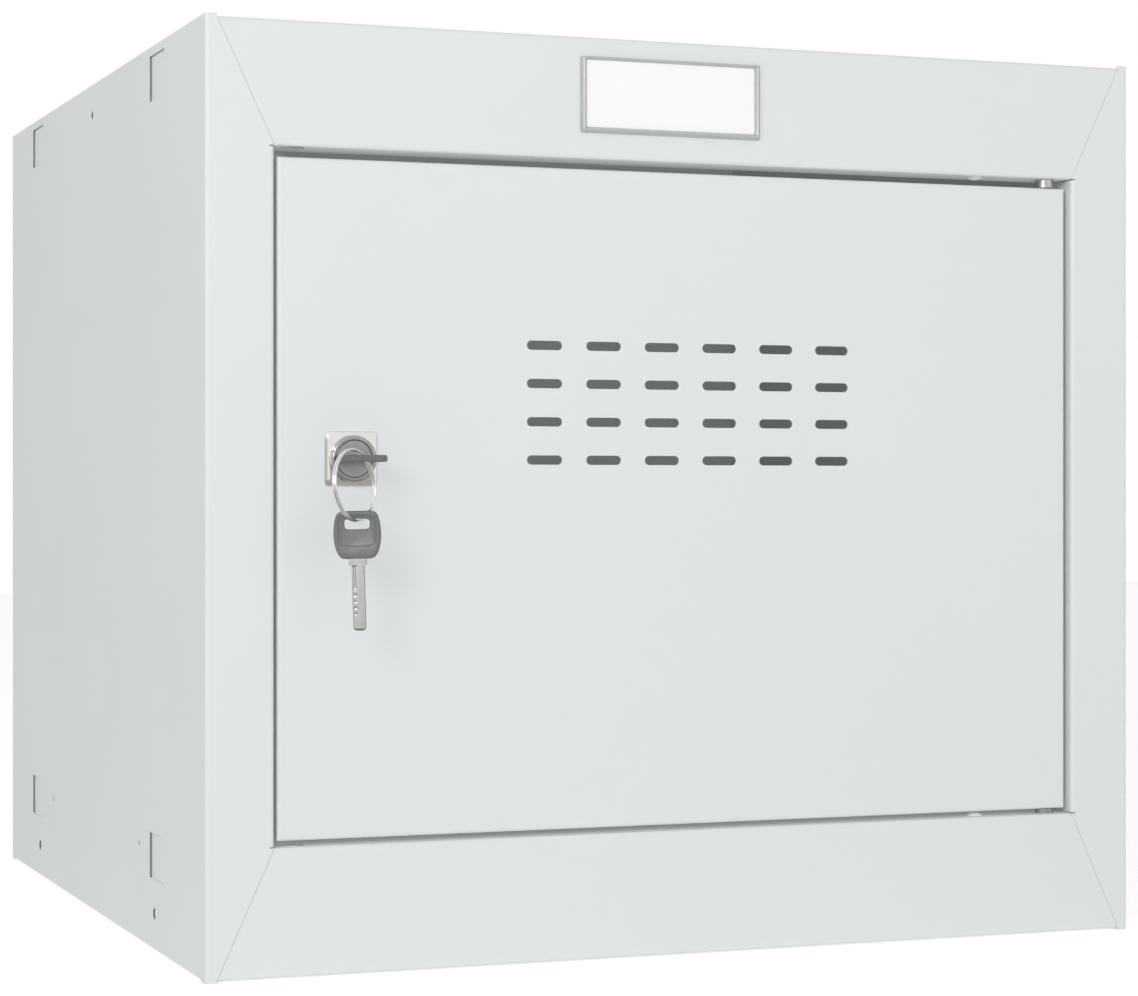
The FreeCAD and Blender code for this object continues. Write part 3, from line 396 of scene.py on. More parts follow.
def surface_piece(name, points, materials, body, replaced, closed=False, strips=None, crease=32.0):
    """Piece over a grid of points in millimetres, rows by columns by three. The columns run round.
    closed joins the last row to the first; otherwise each end row is closed onto its own middle.
    strips numbers the material of each strip between rows."""
    rows, columns = points.shape[:2]
    quads, fans = grid_faces(rows, columns, closed)
    places = points.reshape(-1, 3)
    if not closed:
        places = np.vstack([places, points[0].mean(axis=0), points[-1].mean(axis=0)])
    places = places * MM
    middle = places.mean(axis=0)
    if enclosed(places - middle, quads, fans) < 0.0:
        quads, fans = quads[:, ::-1], fans[:, ::-1]
    mesh = bpy.data.meshes.new(name)
    mesh.from_pydata(places.tolist(), [], quads.tolist() + fans.tolist())
    for material in materials:
        mesh.materials.append(material)
    if strips is not None:
        numbers = np.repeat(np.asarray(strips), columns)
        ends = np.repeat(np.asarray(strips)[[0, -1]], columns)[:len(fans)]
        mesh.polygons.foreach_set("material_index", np.concatenate([numbers, ends]).astype(np.int32))
    mesh.shade_smooth()
    mesh.set_sharp_from_angle(angle=math.radians(crease))
    if mesh.validate():
        raise RuntimeError(name + " has bad faces")
    piece = bpy.data.objects.new(name, mesh)
    bpy.context.scene.collection.objects.link(piece)
    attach(piece, body)
    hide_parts(*replaced)
    return piece


def box_mm(node):
    """Low and high corner of a CAD node's box in millimetres."""
    return [np.array(corner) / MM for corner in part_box(node)]


def turns(count):
    """Angles of one turn, the last step left off because the columns run round."""
    return np.linspace(0.0, 2.0 * math.pi, count, endpoint=False)


def round_box(turn, half_x, half_y, power):
    """Reach from the middle to a box with rounded corners: |x/half_x|^power + |y/half_y|^power = 1."""
    across = np.abs(np.cos(turn)) / half_x
    along = np.abs(np.sin(turn)) / half_y
    return (across ** power + along ** power) ** (-1.0 / power)


def hexagon(turn, flats, first):
    """Reach from the middle to a hexagon of that width over its flats."""
    swing = np.mod(turn - first, math.pi / 3) - math.pi / 6
    return flats / 2 / np.cos(swing)


def turned(turn, profile, centre, axis):
    """Grid of a turned profile: each (reach, height) pair is carried once round the axis through
    centre. A reach may be one number or one per angle."""
    axis = np.asarray(axis, float)
    side = np.array([1.0, 0.0, 0.0]) if abs(axis[0]) < 0.5 else np.array([0.0, 0.0, 1.0])
    up = np.cross(axis, side)
    reach = np.stack([np.broadcast_to(reach, turn.shape) for reach, height in profile])
    height = np.array([height for reach, height in profile], float)
    ring = np.cos(turn)[:, None] * side + np.sin(turn)[:, None] * up
    return np.asarray(centre) + reach[:, :, None] * ring + height[:, None, None] * axis


def step(value, low, high):
    """Smooth step from 0 at low to 1 at high."""
    share = np.clip((value - low) / (high - low), 0.0, 1.0)
    return share * share * (3.0 - 2.0 * share)

# The stage

LEFT_LAMP = (-1.75, -2.15, 1.05)
LEFT_LAMP_SIZE = 0.8
FRONT_LAMP = (1.2, -2.1, 0.25)
FRONT_LAMP_SIZE = 1.6
AIM_HEIGHT = 0.19
LIFT_TILT = math.radians(15.0)
FLOOR_REACH = 4.0
SENSOR_WIDTH = 36.0
# Greys and places of the cards that polished metal reflects
CARD_LEFT = -2.0
CARD_RIGHT = 1.2
LEFT_CARD_Y = (-1.4, -0.2)
LEFT_CARD_TOP = 0.32
LEFT_CARD_TONE = 0.60
FLOOR_CARD_NEAR = -2.6
FLOOR_CARD_OFF = 0.002
FLOOR_CARD_TONE = 0.45
PLATE_CARD_REACH = 0.10
PLATE_CARD_TONES = (0.80, 1.10)
PLATE_CARD_RISES = (0.45, 0.0, 0.55, 1.0)
RISE_SPAN = (0.36, 0.64)


def seen_directly(tree):
    """1 for rays from the camera and for reflections and refractions of them, 0 for light."""
    path = add_node(tree, "ShaderNodeLightPath").outputs
    seen = math_node(tree, "MAXIMUM", path["Is Camera Ray"], path["Is Glossy Ray"])
    return math_node(tree, "MAXIMUM", seen, path["Is Transmission Ray"])


def make_floor(glow):
    """Wide level square under the locker, pale, brighter to the camera so that it runs into white."""
    reach = FLOOR_REACH
    corners = np.array([(-reach, -reach, 0), (reach, -reach, 0), (reach, reach, 0), (-reach, reach, 0)])
    mesh = bpy.data.meshes.new("floor")
    mesh.from_pydata(corners.tolist(), [], [(0, 1, 2, 3)])
    floor = bpy.data.objects.new("floor", mesh)
    bpy.context.scene.collection.objects.link(floor)
    material = bpy.data.materials.new("pale_floor")
    material.use_nodes = True
    tree = material.node_tree
    tree.nodes.clear()
    seen = seen_directly(tree)
    place = add_node(tree, "ShaderNodeTexCoord").outputs["Object"]
    tone = add_node(tree, "ShaderNodeMix", {0: noise(tree, place, 3.0, 3.0)}, data_type="RGBA")
    tone.inputs["A"].default_value = (0.86, 0.86, 0.86, 1.0)
    tone.inputs["B"].default_value = (0.90, 0.90, 0.90, 1.0)
    matt = add_node(tree, "ShaderNodeBsdfDiffuse", {"Color": tone.outputs["Result"]})
    white = add_node(tree, "ShaderNodeEmission",
                     {"Color": (1.0, 1.0, 1.0, 1.0), "Strength": math_node(tree, "MULTIPLY", seen, glow)})
    both = add_node(tree, "ShaderNodeAddShader", {0: matt.outputs[0], 1: white.outputs[0]})
    out = add_node(tree, "ShaderNodeOutputMaterial", {"Surface": both.outputs[0]})
    out.is_active_output = True
    mesh.materials.append(material)
    return floor


def make_sky(strength):
    """Even light of the given strength that looks plain white to the camera and in reflections."""
    world = bpy.data.worlds.new("studio")
    world.use_nodes = True
    tree = world.node_tree
    light = tree.nodes["Background"]
    seen = seen_directly(tree)
    gap = math_node(tree, "MULTIPLY", seen, 1.0 - strength)
    light.inputs["Color"].default_value = (1.0, 1.0, 1.0, 1.0)
    tree.links.new(math_node(tree, "ADD", gap, strength), light.inputs["Strength"])
    bpy.context.scene.world = world


def soft_light(name, place, target, size, power, blockers=None):
    """Square area light that looks at a point. Where blockers are given, only they cast its shadows."""
    lamp = bpy.data.lights.new(name, "AREA")
    lamp.shape = "SQUARE"
    lamp.size = size
    lamp.energy = power
    light = bpy.data.objects.new(name, lamp)
    if blockers:
        light.light_linking.blocker_collection = blockers
    aim = np.array(target) - np.array(place)
    level = math.hypot(aim[0], aim[1])
    light.location = place
    light.rotation_euler = (math.atan2(level, -aim[2]), 0.0, math.atan2(-aim[0], aim[1]))
    bpy.context.scene.collection.objects.link(light)
    return light


def lift_light(name, rotation, strength, receivers=None):
    """Even light from far off without shadows or shine, which keeps gaps and hollows from going black.
    Where receivers are given, it falls on them alone."""
    lamp = bpy.data.lights.new(name, "SUN")
    lamp.energy = strength
    lamp.use_shadow = False
    light = bpy.data.objects.new(name, lamp)
    light.rotation_euler = rotation
    light.visible_glossy = False
    if receivers:
        light.light_linking.receiver_collection = receivers
    bpy.context.scene.collection.objects.link(light)


def reflection_card(name, corners, low, high=None, rises=(0.0, 0.0, 0.0, 0.0)):
    """Card outside the camera's view that only shows in polished metal, as in a studio. Its grey goes
    from low to high by a smooth step across its middle, along the rise given at its corners."""
    mesh = bpy.data.meshes.new(name)
    mesh.from_pydata(corners, [], [(0, 1, 2, 3)])
    shades = mesh.attributes.new("rise", "FLOAT", "POINT")
    shades.data.foreach_set("value", rises)
    card = bpy.data.objects.new(name, mesh)
    material = bpy.data.materials.new(name)
    material.use_nodes = True
    tree = material.node_tree
    tree.nodes.clear()
    rise = add_node(tree, "ShaderNodeAttribute", attribute_name="rise").outputs["Fac"]
    tone = remap(tree, rise, *RISE_SPAN, low, low if high is None else high, smooth=True)
    grey = add_node(tree, "ShaderNodeEmission", {"Color": (1.0, 1.0, 1.0, 1.0), "Strength": tone})
    add_node(tree, "ShaderNodeOutputMaterial", {"Surface": grey.outputs[0]})
    mesh.materials.append(material)
    card.visible_camera = False
    card.visible_diffuse = False
    card.visible_shadow = False
    card.visible_transmission = False
    bpy.context.scene.collection.objects.link(card)


class LOCKER_OT_stage(bpy.types.Operator):
    """Makes the floor, the light and the camera"""

    bl_idname = "locker.stage"
    bl_label = "Stage"

    def execute(self, context):
        stage = context.scene.locker_stage
        make_floor(stage.floor_glow)
        make_sky(stage.sky)
        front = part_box("left_side_panel")[0].y
        middle = (0.0, front, AIM_HEIGHT)
        panels = bpy.data.collections.new("panels")
        for name in PANELS:
            panels.objects.link(NODES[name])
        shadowed = stage.key_power * stage.key_shadow
        unshadowed = stage.key_power * (1.0 - stage.key_shadow)
        soft_light("key_light", LEFT_LAMP, middle, LEFT_LAMP_SIZE, shadowed)
        soft_light("key_fill", LEFT_LAMP, middle, LEFT_LAMP_SIZE, unshadowed, panels)
        fill = soft_light("front_fill", FRONT_LAMP, middle, FRONT_LAMP_SIZE, stage.fill_power, panels)
        fill.visible_glossy = False
        lift_light("lift_from_below", (math.pi - LIFT_TILT, 0.0, 0.0), stage.lift_up)
        lift_light("lift_from_above", (LIFT_TILT, 0.0, 0.0), stage.lift_down)
        lift_light("gap_from_right", (0.0, math.pi / 2, 0.0), stage.lift_gap, panels)
        near, far = LEFT_CARD_Y
        reflection_card("left_card", [
            (CARD_LEFT, near, 0.0), (CARD_LEFT, far, 0.0), (CARD_LEFT, far, LEFT_CARD_TOP),
            (CARD_LEFT, near, LEFT_CARD_TOP)], LEFT_CARD_TONE)
        near, far, level = FLOOR_CARD_NEAR, front - FLOOR_CARD_OFF, FLOOR_CARD_OFF
        reflection_card("floor_card", [
            (CARD_LEFT, near, level), (CARD_RIGHT, near, level), (CARD_RIGHT, far, level),
            (CARD_LEFT, far, level)], FLOOR_CARD_TONE)
        # The plate's card stands where the camera's view goes after the lock's face turns it back
        mirror_x = 2 * LOCK_AXIS[0] - stage.camera_x
        mirror_z = 2 * LOCK_AXIS[2] - stage.camera_z
        reach = PLATE_CARD_REACH
        reflection_card("plate_card", [
            (mirror_x + right * reach, front - stage.camera_off, mirror_z + up * reach)
            for right, up in ((-1, -1), (1, -1), (1, 1), (-1, 1))], *PLATE_CARD_TONES, PLATE_CARD_RISES)
        eye = bpy.data.cameras.new("photo_view")
        eye.lens = stage.lens
        eye.sensor_width = SENSOR_WIDTH
        eye.shift_x = stage.shift_x
        eye.shift_y = stage.shift_y
        camera = bpy.data.objects.new("photo_view", eye)
        camera.location = (stage.camera_x, front - stage.camera_off, stage.camera_z)
        camera.rotation_euler = (math.pi / 2, 0.0, -stage.camera_turn)
        context.scene.collection.objects.link(camera)
        context.scene.camera = camera
        context.scene.view_settings.view_transform = "Standard"
        return {"FINISHED"}

# Pieces

def shade_cut_walls(material, colour, low, high):
    """Paints shade on the punched walls of the side windows and holes where they look to the
    front or down: a dark painted shade over the paint. The folds at the two ends, inside and on the floor are
    left out by their place."""
    tree = material.node_tree
    shader = tree.nodes["Principled BSDF"]
    looks = add_node(tree, "ShaderNodeSeparateXYZ",
                     {0: add_node(tree, "ShaderNodeNewGeometry").outputs["True Normal"]}).outputs
    place = add_node(tree, "ShaderNodeSeparateXYZ",
                     {0: add_node(tree, "ShaderNodeTexCoord").outputs["Object"]}).outputs
    ahead = remap(tree, looks["Y"], -0.3, -0.8, 0.0, 1.0)
    down = remap(tree, looks["Z"], -0.3, -0.8, 0.0, 1.0)
    margin, floor_fold, skin_depth = 0.02, 0.008, 0.0015
    behind = math_node(tree, "GREATER_THAN", place["Y"], low.y + margin)
    before = math_node(tree, "LESS_THAN", place["Y"], high.y - margin)
    above = math_node(tree, "GREATER_THAN", place["Z"], floor_fold)
    skin = math_node(tree, "GREATER_THAN", math_node(tree, "ABSOLUTE", place["X"]), -low.x - skin_depth)
    within = math_node(tree, "MULTIPLY", behind, before)
    inner = math_node(tree, "MULTIPLY", math_node(tree, "MULTIPLY", within, above), skin)
    mask = math_node(tree, "MULTIPLY", math_node(tree, "MAXIMUM", ahead, down), inner)
    # Painted shade: where the mask is 1 the paint's colour gives way to the dark wall colour
    painted = shader.inputs["Base Color"].links[0].from_socket
    wall_shade = add_node(tree, "ShaderNodeMix", {0: mask}, data_type="RGBA")
    tree.links.new(painted, wall_shade.inputs["A"])
    wall_shade.inputs["B"].default_value = (*colour, 1.0)
    tree.links.new(wall_shade.outputs["Result"], shader.inputs["Base Color"])


class LOCKER_OT_cabinet(bpy.types.Operator):
    """Paints the folded panels of the cabinet and the door"""

    bl_idname = "locker.cabinet"
    bl_label = "Cabinet and door paint"

    def execute(self, context):
        colour = tuple(context.scene.locker_finish.paint)
        # The second material carries the painted shade on the side panels' window and hole walls
        paint, cut = (
            surface_material(name, colour, 0.985, "powder", {}, (0.40, 0.50), edge=1.05, edge_share=0.6)
            for name in ("powder_coat", "powder_coat_wall_shade"))
        dress(PANELS, paint)
        low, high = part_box("left_side_panel")
        # Painted shade on the window walls: the paint at about a quarter of its brightness
        wall_shade_share = 0.26
        shade_cut_walls(cut, toned(colour, wall_shade_share), low, high)
        dress(["left_side_panel", "right_side_panel"], cut)
        return {"FINISHED"}


def domed_rivet(name, node, upwards, materials):
    """Rivet as a turned profile: flat shop head, straight shank and a low dome on the paint side."""
    low, high = box_mm(node)
    centre = (low + high) / 2
    reach = (high[0] - low[0]) / 2
    length = high[2] - low[2]
    axis = (0.0, 0.0, 1.0 if upwards else -1.0)
    centre[2] = low[2] if upwards else high[2]
    dome = 1.4
    bend = np.linspace(0.0, math.pi / 2, 9)[:-1]
    profile = [(2.3, 0.0), (2.8, 0.15), (3.0, 0.5), (3.0, 1.0), (2.0, 1.0), (2.0, length - dome),
               (reach, length - dome)]
    profile += [(reach * math.cos(turn), length - dome + dome * math.sin(turn)) for turn in bend[1:]]
    points = turned(turns(48), profile, centre, axis)
    return surface_piece(name, points, materials, "carcass", [node])


class LOCKER_OT_hinges(bpy.types.Operator):
    """Dresses the hinge plates, pins and bushes and makes the rivets"""

    bl_idname = "locker.hinges"
    bl_label = "Hinges"

    def execute(self, context):
        finish = context.scene.locker_finish
        plated = surface_material(
            "zinc_plate", finish.plated, 0.8, "plating", {}, (0.28, 0.42), metallic=1.0, edge=1.15)
        bright = surface_material(
            "turned_steel", finish.bright, 0.85, "drawn", {}, (0.16, 0.28), metallic=1.0, edge=1.1)
        bush = surface_material("nylon", finish.bush, 0.92, "moulded", {}, (0.35, 0.5), edge=1.05)
        paint = bpy.data.materials["powder_coat"]
        dress(["upper_hinge_plate", "lower_hinge_plate"], plated)
        dress(["upper_hinge_pin", "lower_hinge_pin"], bright)
        dress(["upper_hinge_bush", "lower_hinge_bush"], bush)
        domed_rivet("upper_rivet", "upper_hinge_rivet", False, [paint])
        domed_rivet("lower_rivet", "lower_hinge_rivet", True, [paint])
        return {"FINISHED"}


def rounded_rectangle(half_x, half_z, corner):
    """Rectangles with round corners, one a row: a quarter turn about the centre of each corner."""
    bend = np.linspace(0.0, math.pi / 2, 9)
    turn = (np.arange(4)[:, None] * math.pi / 2 + bend).ravel()
    right = np.repeat([1.0, -1.0, -1.0, 1.0], len(bend))
    up = np.repeat([1.0, 1.0, -1.0, -1.0], len(bend))
    x = right * (half_x - corner) + corner * np.cos(turn)
    z = up * (half_z - corner) + corner * np.sin(turn)
    return x, z


def holder_points(low, high):
    """Label holder as a loft of rounded rectangles: a half-round bead round the card, narrower along
    the top, and a thin back behind the card. Row by row the rectangle's inset and height off the rail
    follow a half ellipse, then drop behind the card's edge."""
    deep = high[1] - low[1]
    border, top_border = 2.2, 1.4
    back, wall = 0.6, 0.7
    bend = np.linspace(0.0, math.pi * 0.88, 19)
    arc = (1.0 - np.cos(bend)) / (1.0 - math.cos(bend[-1]))
    shares = np.concatenate([[0.0], arc, [1.0]])[:, None]
    heights = np.concatenate([[0.0], wall + (deep - wall) * np.sin(bend), [back]])[:, None]
    half_x = (high[0] - low[0]) / 2 - shares * border
    half_z = (high[2] - low[2]) / 2 - shares * (border + top_border) / 2
    x, z = rounded_rectangle(half_x, half_z, 0.8 - 0.5 * shares)
    x = (low[0] + high[0]) / 2 + x
    z = (low[2] + high[2]) / 2 + shares * (border - top_border) / 2 + z
    y = np.broadcast_to(high[1] - heights, x.shape)
    return np.stack([x, y, z], axis=-1)


class LOCKER_OT_label(bpy.types.Operator):
    """Makes the label holder and dresses its blank card"""

    bl_idname = "locker.label"
    bl_label = "Label holder"

    def execute(self, context):
        finish = context.scene.locker_finish
        silver = surface_material(
            "silver_holder", finish.holder, 0.92, "drawn",
            {"Width": 0.0003}, (0.30, 0.42), metallic=0.2, edge=1.05, edge_radius=0.0001)
        card = surface_material("blank_card", finish.card, 0.985, "paper", {}, (0.45, 0.6), edge=0.95)
        low, high = box_mm("label_frame")
        surface_piece("label_holder", holder_points(low, high), [silver], "carcass",
                      ["label_frame"], crease=50.0)
        dress(["label_card"], card)
        return {"FINISHED"}


def buffer_points(low, high):
    """Push-in rubber buffer as a turned profile: soft domed pad, groove for the sheet, barbed bulb."""
    centre = (low + high) / 2
    centre[1] = low[1]
    pad, stem, bulb = 3.4, 1.9, 2.6
    profile = [(1.2, 0.0), (2.3, 0.05), (2.95, 0.2), (3.3, 0.45), (pad, 0.8), (pad, 0.9), (stem, 0.9),
               (stem, 1.7), (2.2, 1.7), (bulb, 1.95), (2.45, 2.4), (2.0, 2.8), (1.3, 3.1)]
    length = high[1] - low[1]
    scale = length / profile[-1][1]
    profile = [(reach, height * scale) for reach, height in profile]
    return turned(turns(40), profile, centre, (0.0, 1.0, 0.0))


class LOCKER_OT_buffers(bpy.types.Operator):
    """Makes the rubber door buffers"""

    bl_idname = "locker.buffers"
    bl_label = "Door buffers"

    def execute(self, context):
        finish = context.scene.locker_finish
        rubber = surface_material(
            "buffer_rubber", finish.rubber, 1.6, "moulded", {"Grain": 0.0003}, (0.6, 0.8), edge=2.0,
            edge_share=0.4)
        for place in ("upper", "lower"):
            node = place + "_door_buffer"
            low, high = box_mm(node)
            surface_piece(place + "_buffer", buffer_points(low, high), [rubber], "carcass", [node])
        return {"FINISHED"}


# Lock body sizes in millimetres, as in the solids
BORE_R = 7.2
TAIL_HOLE_R = 4.1
RIM_R = 9.0
PLATE_SIDE = 21.2
PLATE_BEVEL = 1.15
RIM_TO_PLATE = 3.5
RIM_TO_DOOR = 5.0
BARREL_R = 9.0
BARREL_FLAT = 8.0
THREAD_PITCH = 1.5
THREAD_DEPTH = 0.45


def housing_points(turn, front, back):
    """Lock body as polar loops about the lock's axis, from the bore over the rim, the bevelled square
    plate and the threaded barrel with two flats, back into the bore. Each loop is a circle, a rounded
    square or a circle cut by the flats. Also gives the material of each strip."""
    bore_end = back - 1.5
    plate = front + RIM_TO_PLATE
    door = front + RIM_TO_DOOR
    half = PLATE_SIDE / 2
    corner = 15.0

    def square(inset):
        return round_box(turn, half - inset, half - inset, corner)

    rim = [(BORE_R, bore_end), (BORE_R, front + 0.08), (BORE_R + 0.02, front + 0.02), (BORE_R + 0.08, front),
           (RIM_R - 0.75, front), (RIM_R - 0.55, front + 0.05), (RIM_R - 0.3, front + 0.22),
           (RIM_R - 0.1, front + 0.5), (RIM_R, front + 0.85)]
    sheath = [(RIM_R, plate - 0.25), (RIM_R + 0.07, plate - 0.07), (RIM_R + 0.25, plate)]
    face = [(square(PLATE_BEVEL + 0.06), plate), (square(PLATE_BEVEL - 0.04), plate + 0.04),
            (square(0.1), plate + 1.02), (square(0.0), plate + 1.15), (square(0.0), door),
            (square(0.2), door + 0.001)]
    height = np.arange(door, back - 0.4, THREAD_PITCH / 6)
    phase = np.mod(height[:, None] / THREAD_PITCH - turn[None, :] / (2 * math.pi), 1.0)
    run_in = step(height, door + 3.0, door + 4.5)[:, None]
    thread = BARREL_R - THREAD_DEPTH * np.abs(2.0 * phase - 1.0) * run_in
    flat = BARREL_FLAT / np.maximum(np.abs(np.sin(turn)), 1e-6)
    barrel = [(np.minimum(reach, flat), level) for reach, level in zip(thread, height)]
    finish = [(np.minimum(BARREL_R - 0.5, flat), back), (TAIL_HOLE_R, back), (TAIL_HOLE_R, bore_end)]
    strips = [1] * (len(rim) - 1) + [0] * (len(sheath) + len(face))
    strips += [2] * (len(barrel) + len(finish)) + [1]
    return rim + sheath + face + barrel + finish, strips


def nut_points(turn, flats, hole, front, back, first):
    """Hexagon nut as polar loops: the hexagon is held inside a circle that narrows at both faces, which
    gives the chamfers, and the hole closes the ring."""
    six = hexagon(turn, flats, first)
    wide = flats / math.sqrt(3)
    thick = back - front
    levels = np.array([0.0, 0.08, 0.16, 0.3, 0.5, 0.7, 0.84, 0.92, 1.0])
    off = np.maximum(np.abs(levels - 0.5) - 0.2, 0.0) / 0.3
    outer = [(np.minimum(six, wide - 0.135 * wide * share ** 1.6), front + thick * level)
             for level, share in zip(levels, off)]
    return [(hole, front)] + outer + [(hole, back)]


class LOCKER_OT_lock(bpy.types.Operator):
    """Makes the lock's body and nut and dresses the plug, cam, washers and cam bolt"""

    bl_idname = "locker.lock"
    bl_label = "Lock"

    def execute(self, context):
        finish = context.scene.locker_finish
        chrome = surface_material(
            "lock_chrome", finish.chrome, 0.9, "drawn",
            {"Depth": 0.0000005}, (0.05, 0.10), metallic=1.0, edge=1.1, edge_radius=0.0001)
        core = surface_material(
            "lock_core", finish.core, 0.85, "lathe", {}, (0.28, 0.4),
            metallic=1.0, edge=1.3, edge_radius=0.0001)
        plated = bpy.data.materials["zinc_plate"]
        axis = (0.0, 1.0, 0.0)
        centre = np.array([LOCK_AXIS[0], 0.0, LOCK_AXIS[2]]) / MM
        low, high = box_mm("lock_housing")
        turn = turns(240)
        loops, strips = housing_points(turn, low[1], high[1])
        surface_piece("lock_body", turned(turn, loops, centre, axis), [chrome, core, plated], "door",
                      ["lock_housing"], closed=True, strips=strips)
        turn = turns(180)
        low, high = box_mm("lock_nut")
        loops = nut_points(turn, 22.0, BARREL_R + 0.05, low[1], high[1], math.radians(30.0))
        surface_piece("lock_ring_nut", turned(turn, loops, centre, axis), [plated], "door",
                      ["lock_nut"], closed=True)
        dress(["lock_plug"], core)
        dress(["lock_washer", "lock_cam", "cam_washer", "cam_bolt"], plated)
        return {"FINISHED"}


# Key sizes in millimetres, as in the solids
BOW_LENGTH = 18.0
BOW_HALF = 8.95
BOW_THICK = 2.6
BOW_RIM = 3.0
BOW_SLOT_LENGTH = 9.6
BOW_SLOT_WIDTH = 3.9
PANEL_DEPTH = 0.4
BLADE_THICK = 1.9
BLADE_LENGTH = 24.5
BLADE_WIDTH = 4.8
SHOULDER_WIDTH = 6.4
SHOULDER_LENGTH = 2.3


def bow_outline(turn):
    """Key head seen flat: a rounded box whose half width falls off with the square of the distance
    from its middle, more towards the blade."""
    reach = round_box(turn, BOW_HALF, BOW_LENGTH / 2, 8.0)
    along = reach * np.sin(turn) / BOW_LENGTH
    waist = 1.0 - np.where(along > 0.0, 1.0, 0.62) * along ** 2
    return np.stack([reach * np.cos(turn) * waist, BOW_LENGTH / 2 + reach * np.sin(turn)], axis=-1)


def panel_outline(turn):
    """Sunken panel round the slot: a rounded box with a lower edge that bellies towards the blade."""
    low, high = 1.9, 12.4
    reach = round_box(turn, BOW_HALF - 1.9, (high - low) / 2, 7.0)
    x = reach * np.cos(turn)
    y = (low + high) / 2 + reach * np.sin(turn)
    belly = 0.9 * step(y, 7.0, high) * (1.0 - (x / BOW_HALF) ** 2)
    return np.stack([x, y + belly], axis=-1)


def slot_outline(turn, inset):
    middle = BOW_RIM + BOW_SLOT_WIDTH / 2
    reach = round_box(turn, BOW_SLOT_LENGTH / 2 - inset, BOW_SLOT_WIDTH / 2 - inset, 5.0)
    return np.stack([reach * np.cos(turn), middle + reach * np.sin(turn)], axis=-1)


def shrunk(outline, distance):
    """Outline moved inwards along its own normal, taken from central differences round it."""
    tangent = np.roll(outline, -1, axis=0) - np.roll(outline, 1, axis=0)
    normal = np.stack([-tangent[:, 1], tangent[:, 0]], axis=-1)
    return outline + distance * normal / np.linalg.norm(normal, axis=1, keepdims=True)


def bow_points():
    """Key head as loops from the outer edge over one face into the slot and back over the other face:
    rounded edge, rim, wall of the sunken panel, panel, rounded mouth of the slot, then mirrored."""
    turn = turns(200)
    outer, panel = bow_outline(turn), panel_outline(turn)
    half = BOW_THICK / 2
    bend = np.linspace(0.0, math.pi / 2, 6)
    edge = 0.7
    floor = half - PANEL_DEPTH
    mouth = 0.35
    loops = [(shrunk(outer, edge * (1 - math.cos(a))), half - edge + edge * math.sin(a)) for a in bend]
    loops += [(shrunk(panel, -0.3), half), (shrunk(panel, -0.2), half - 0.04),
              (shrunk(panel, 0.2), floor + 0.04), (shrunk(panel, 0.3), floor)]
    loops += [(slot_outline(turn, -mouth * (1 - math.sin(a))), floor - mouth * (1 - math.cos(a)))
              for a in bend]
    mirrored = [(flat, -z) for flat, z in loops[::-1]]
    grid = []
    for flat, z in loops + mirrored:
        grid.append(np.concatenate([flat, np.full((len(turn), 1), z)], axis=1))
    return np.stack(grid)


def blade_points():
    """Key blade as cross sections along its length. The half width follows the shoulder, the blade and
    the bevelled tip; each face is sunk by a groove near one edge and by round dimples beyond it."""
    start = BOW_LENGTH - 1.2
    shoulder = BOW_LENGTH + SHOULDER_LENGTH
    tip = shoulder + BLADE_LENGTH
    along = np.unique(np.concatenate([
        [start, BOW_LENGTH, shoulder - 0.05, shoulder, shoulder + 0.05],
        np.linspace(shoulder + 0.1, tip - 1.2, 150),
        np.linspace(tip - 1.2, tip, 12)]))
    across = np.linspace(-1.0, 1.0, 61)
    half = np.where(along < shoulder, SHOULDER_WIDTH / 2, BLADE_WIDTH / 2)
    half = half - 0.9 * np.clip((along - tip + 0.9) / 0.9, 0.0, 1.0)
    x = half[:, None] * across
    y = np.broadcast_to(along[:, None], x.shape)
    corner = 0.18
    beside = np.maximum(np.abs(x) - (half[:, None] - corner), 0.0) / corner
    crown = BLADE_THICK / 2 - corner * (1.0 - np.sqrt(np.maximum(1.0 - beside ** 2, 0.0)))
    crown = crown - 0.25 * step(y, tip - 0.8, tip)

    def cut(side):
        place = side * x + 1.35
        groove = 0.24 * step(0.42 - np.abs(place), 0.0, 0.12)
        groove = groove * step(y, shoulder + 0.2, shoulder + 0.5) * step(-y, -shoulder - 9.6, -shoulder - 8.8)
        ramp = 0.09 * step(-side * x, -0.2, 1.6) * step(y, shoulder, shoulder + 0.3)
        sunk = groove + ramp
        for spot, deep in ((11.2, 0.08), (13.6, 0.05), (16.0, 0.09), (18.2, 0.06)):
            away = np.hypot(place - 0.1, y - shoulder - spot)
            sunk = sunk + deep * step(0.75 - away, 0.0, 0.5)
        return sunk

    top = np.stack([x, y, crown - cut(-1.0)], axis=-1)
    under = np.stack([x, y, -(crown - cut(1.0))], axis=-1)
    return np.concatenate([top, under[:, ::-1]], axis=1)


def in_key_frame(points, origin, x_axis, y_axis):
    """Points from a key's own frame to the locker's."""
    axes = np.stack([x_axis, y_axis, np.cross(x_axis, y_axis)])
    return np.asarray(origin) + points @ axes


# Ring and spare key in millimetres
RING_R = 13.45
RING_WIRE_R = 0.5
COIL_OFF = 0.465
COIL_HALF = 0.445
RING_LEAN = math.radians(5.9)
SPARE_YAW = math.radians(-25.0)
SPARE_LEAN = math.radians(1.6)
SPARE_PLAY = 0.36
SPARE_ASIDE = -0.3


def ring_frame():
    """Lowest point of the ring and its axes: along it there, up its plane, and through it."""
    swing = JOINTS["spare_key_swing"]
    hang = np.array(swing["pos_m"]) / MM
    along = np.array(swing["axis"], float)
    back = np.array([-along[1], along[0], 0.0])
    up = np.array([0.0, 0.0, math.cos(RING_LEAN)]) + back * math.sin(RING_LEAN)
    return hang, along, up, np.cross(up, along)


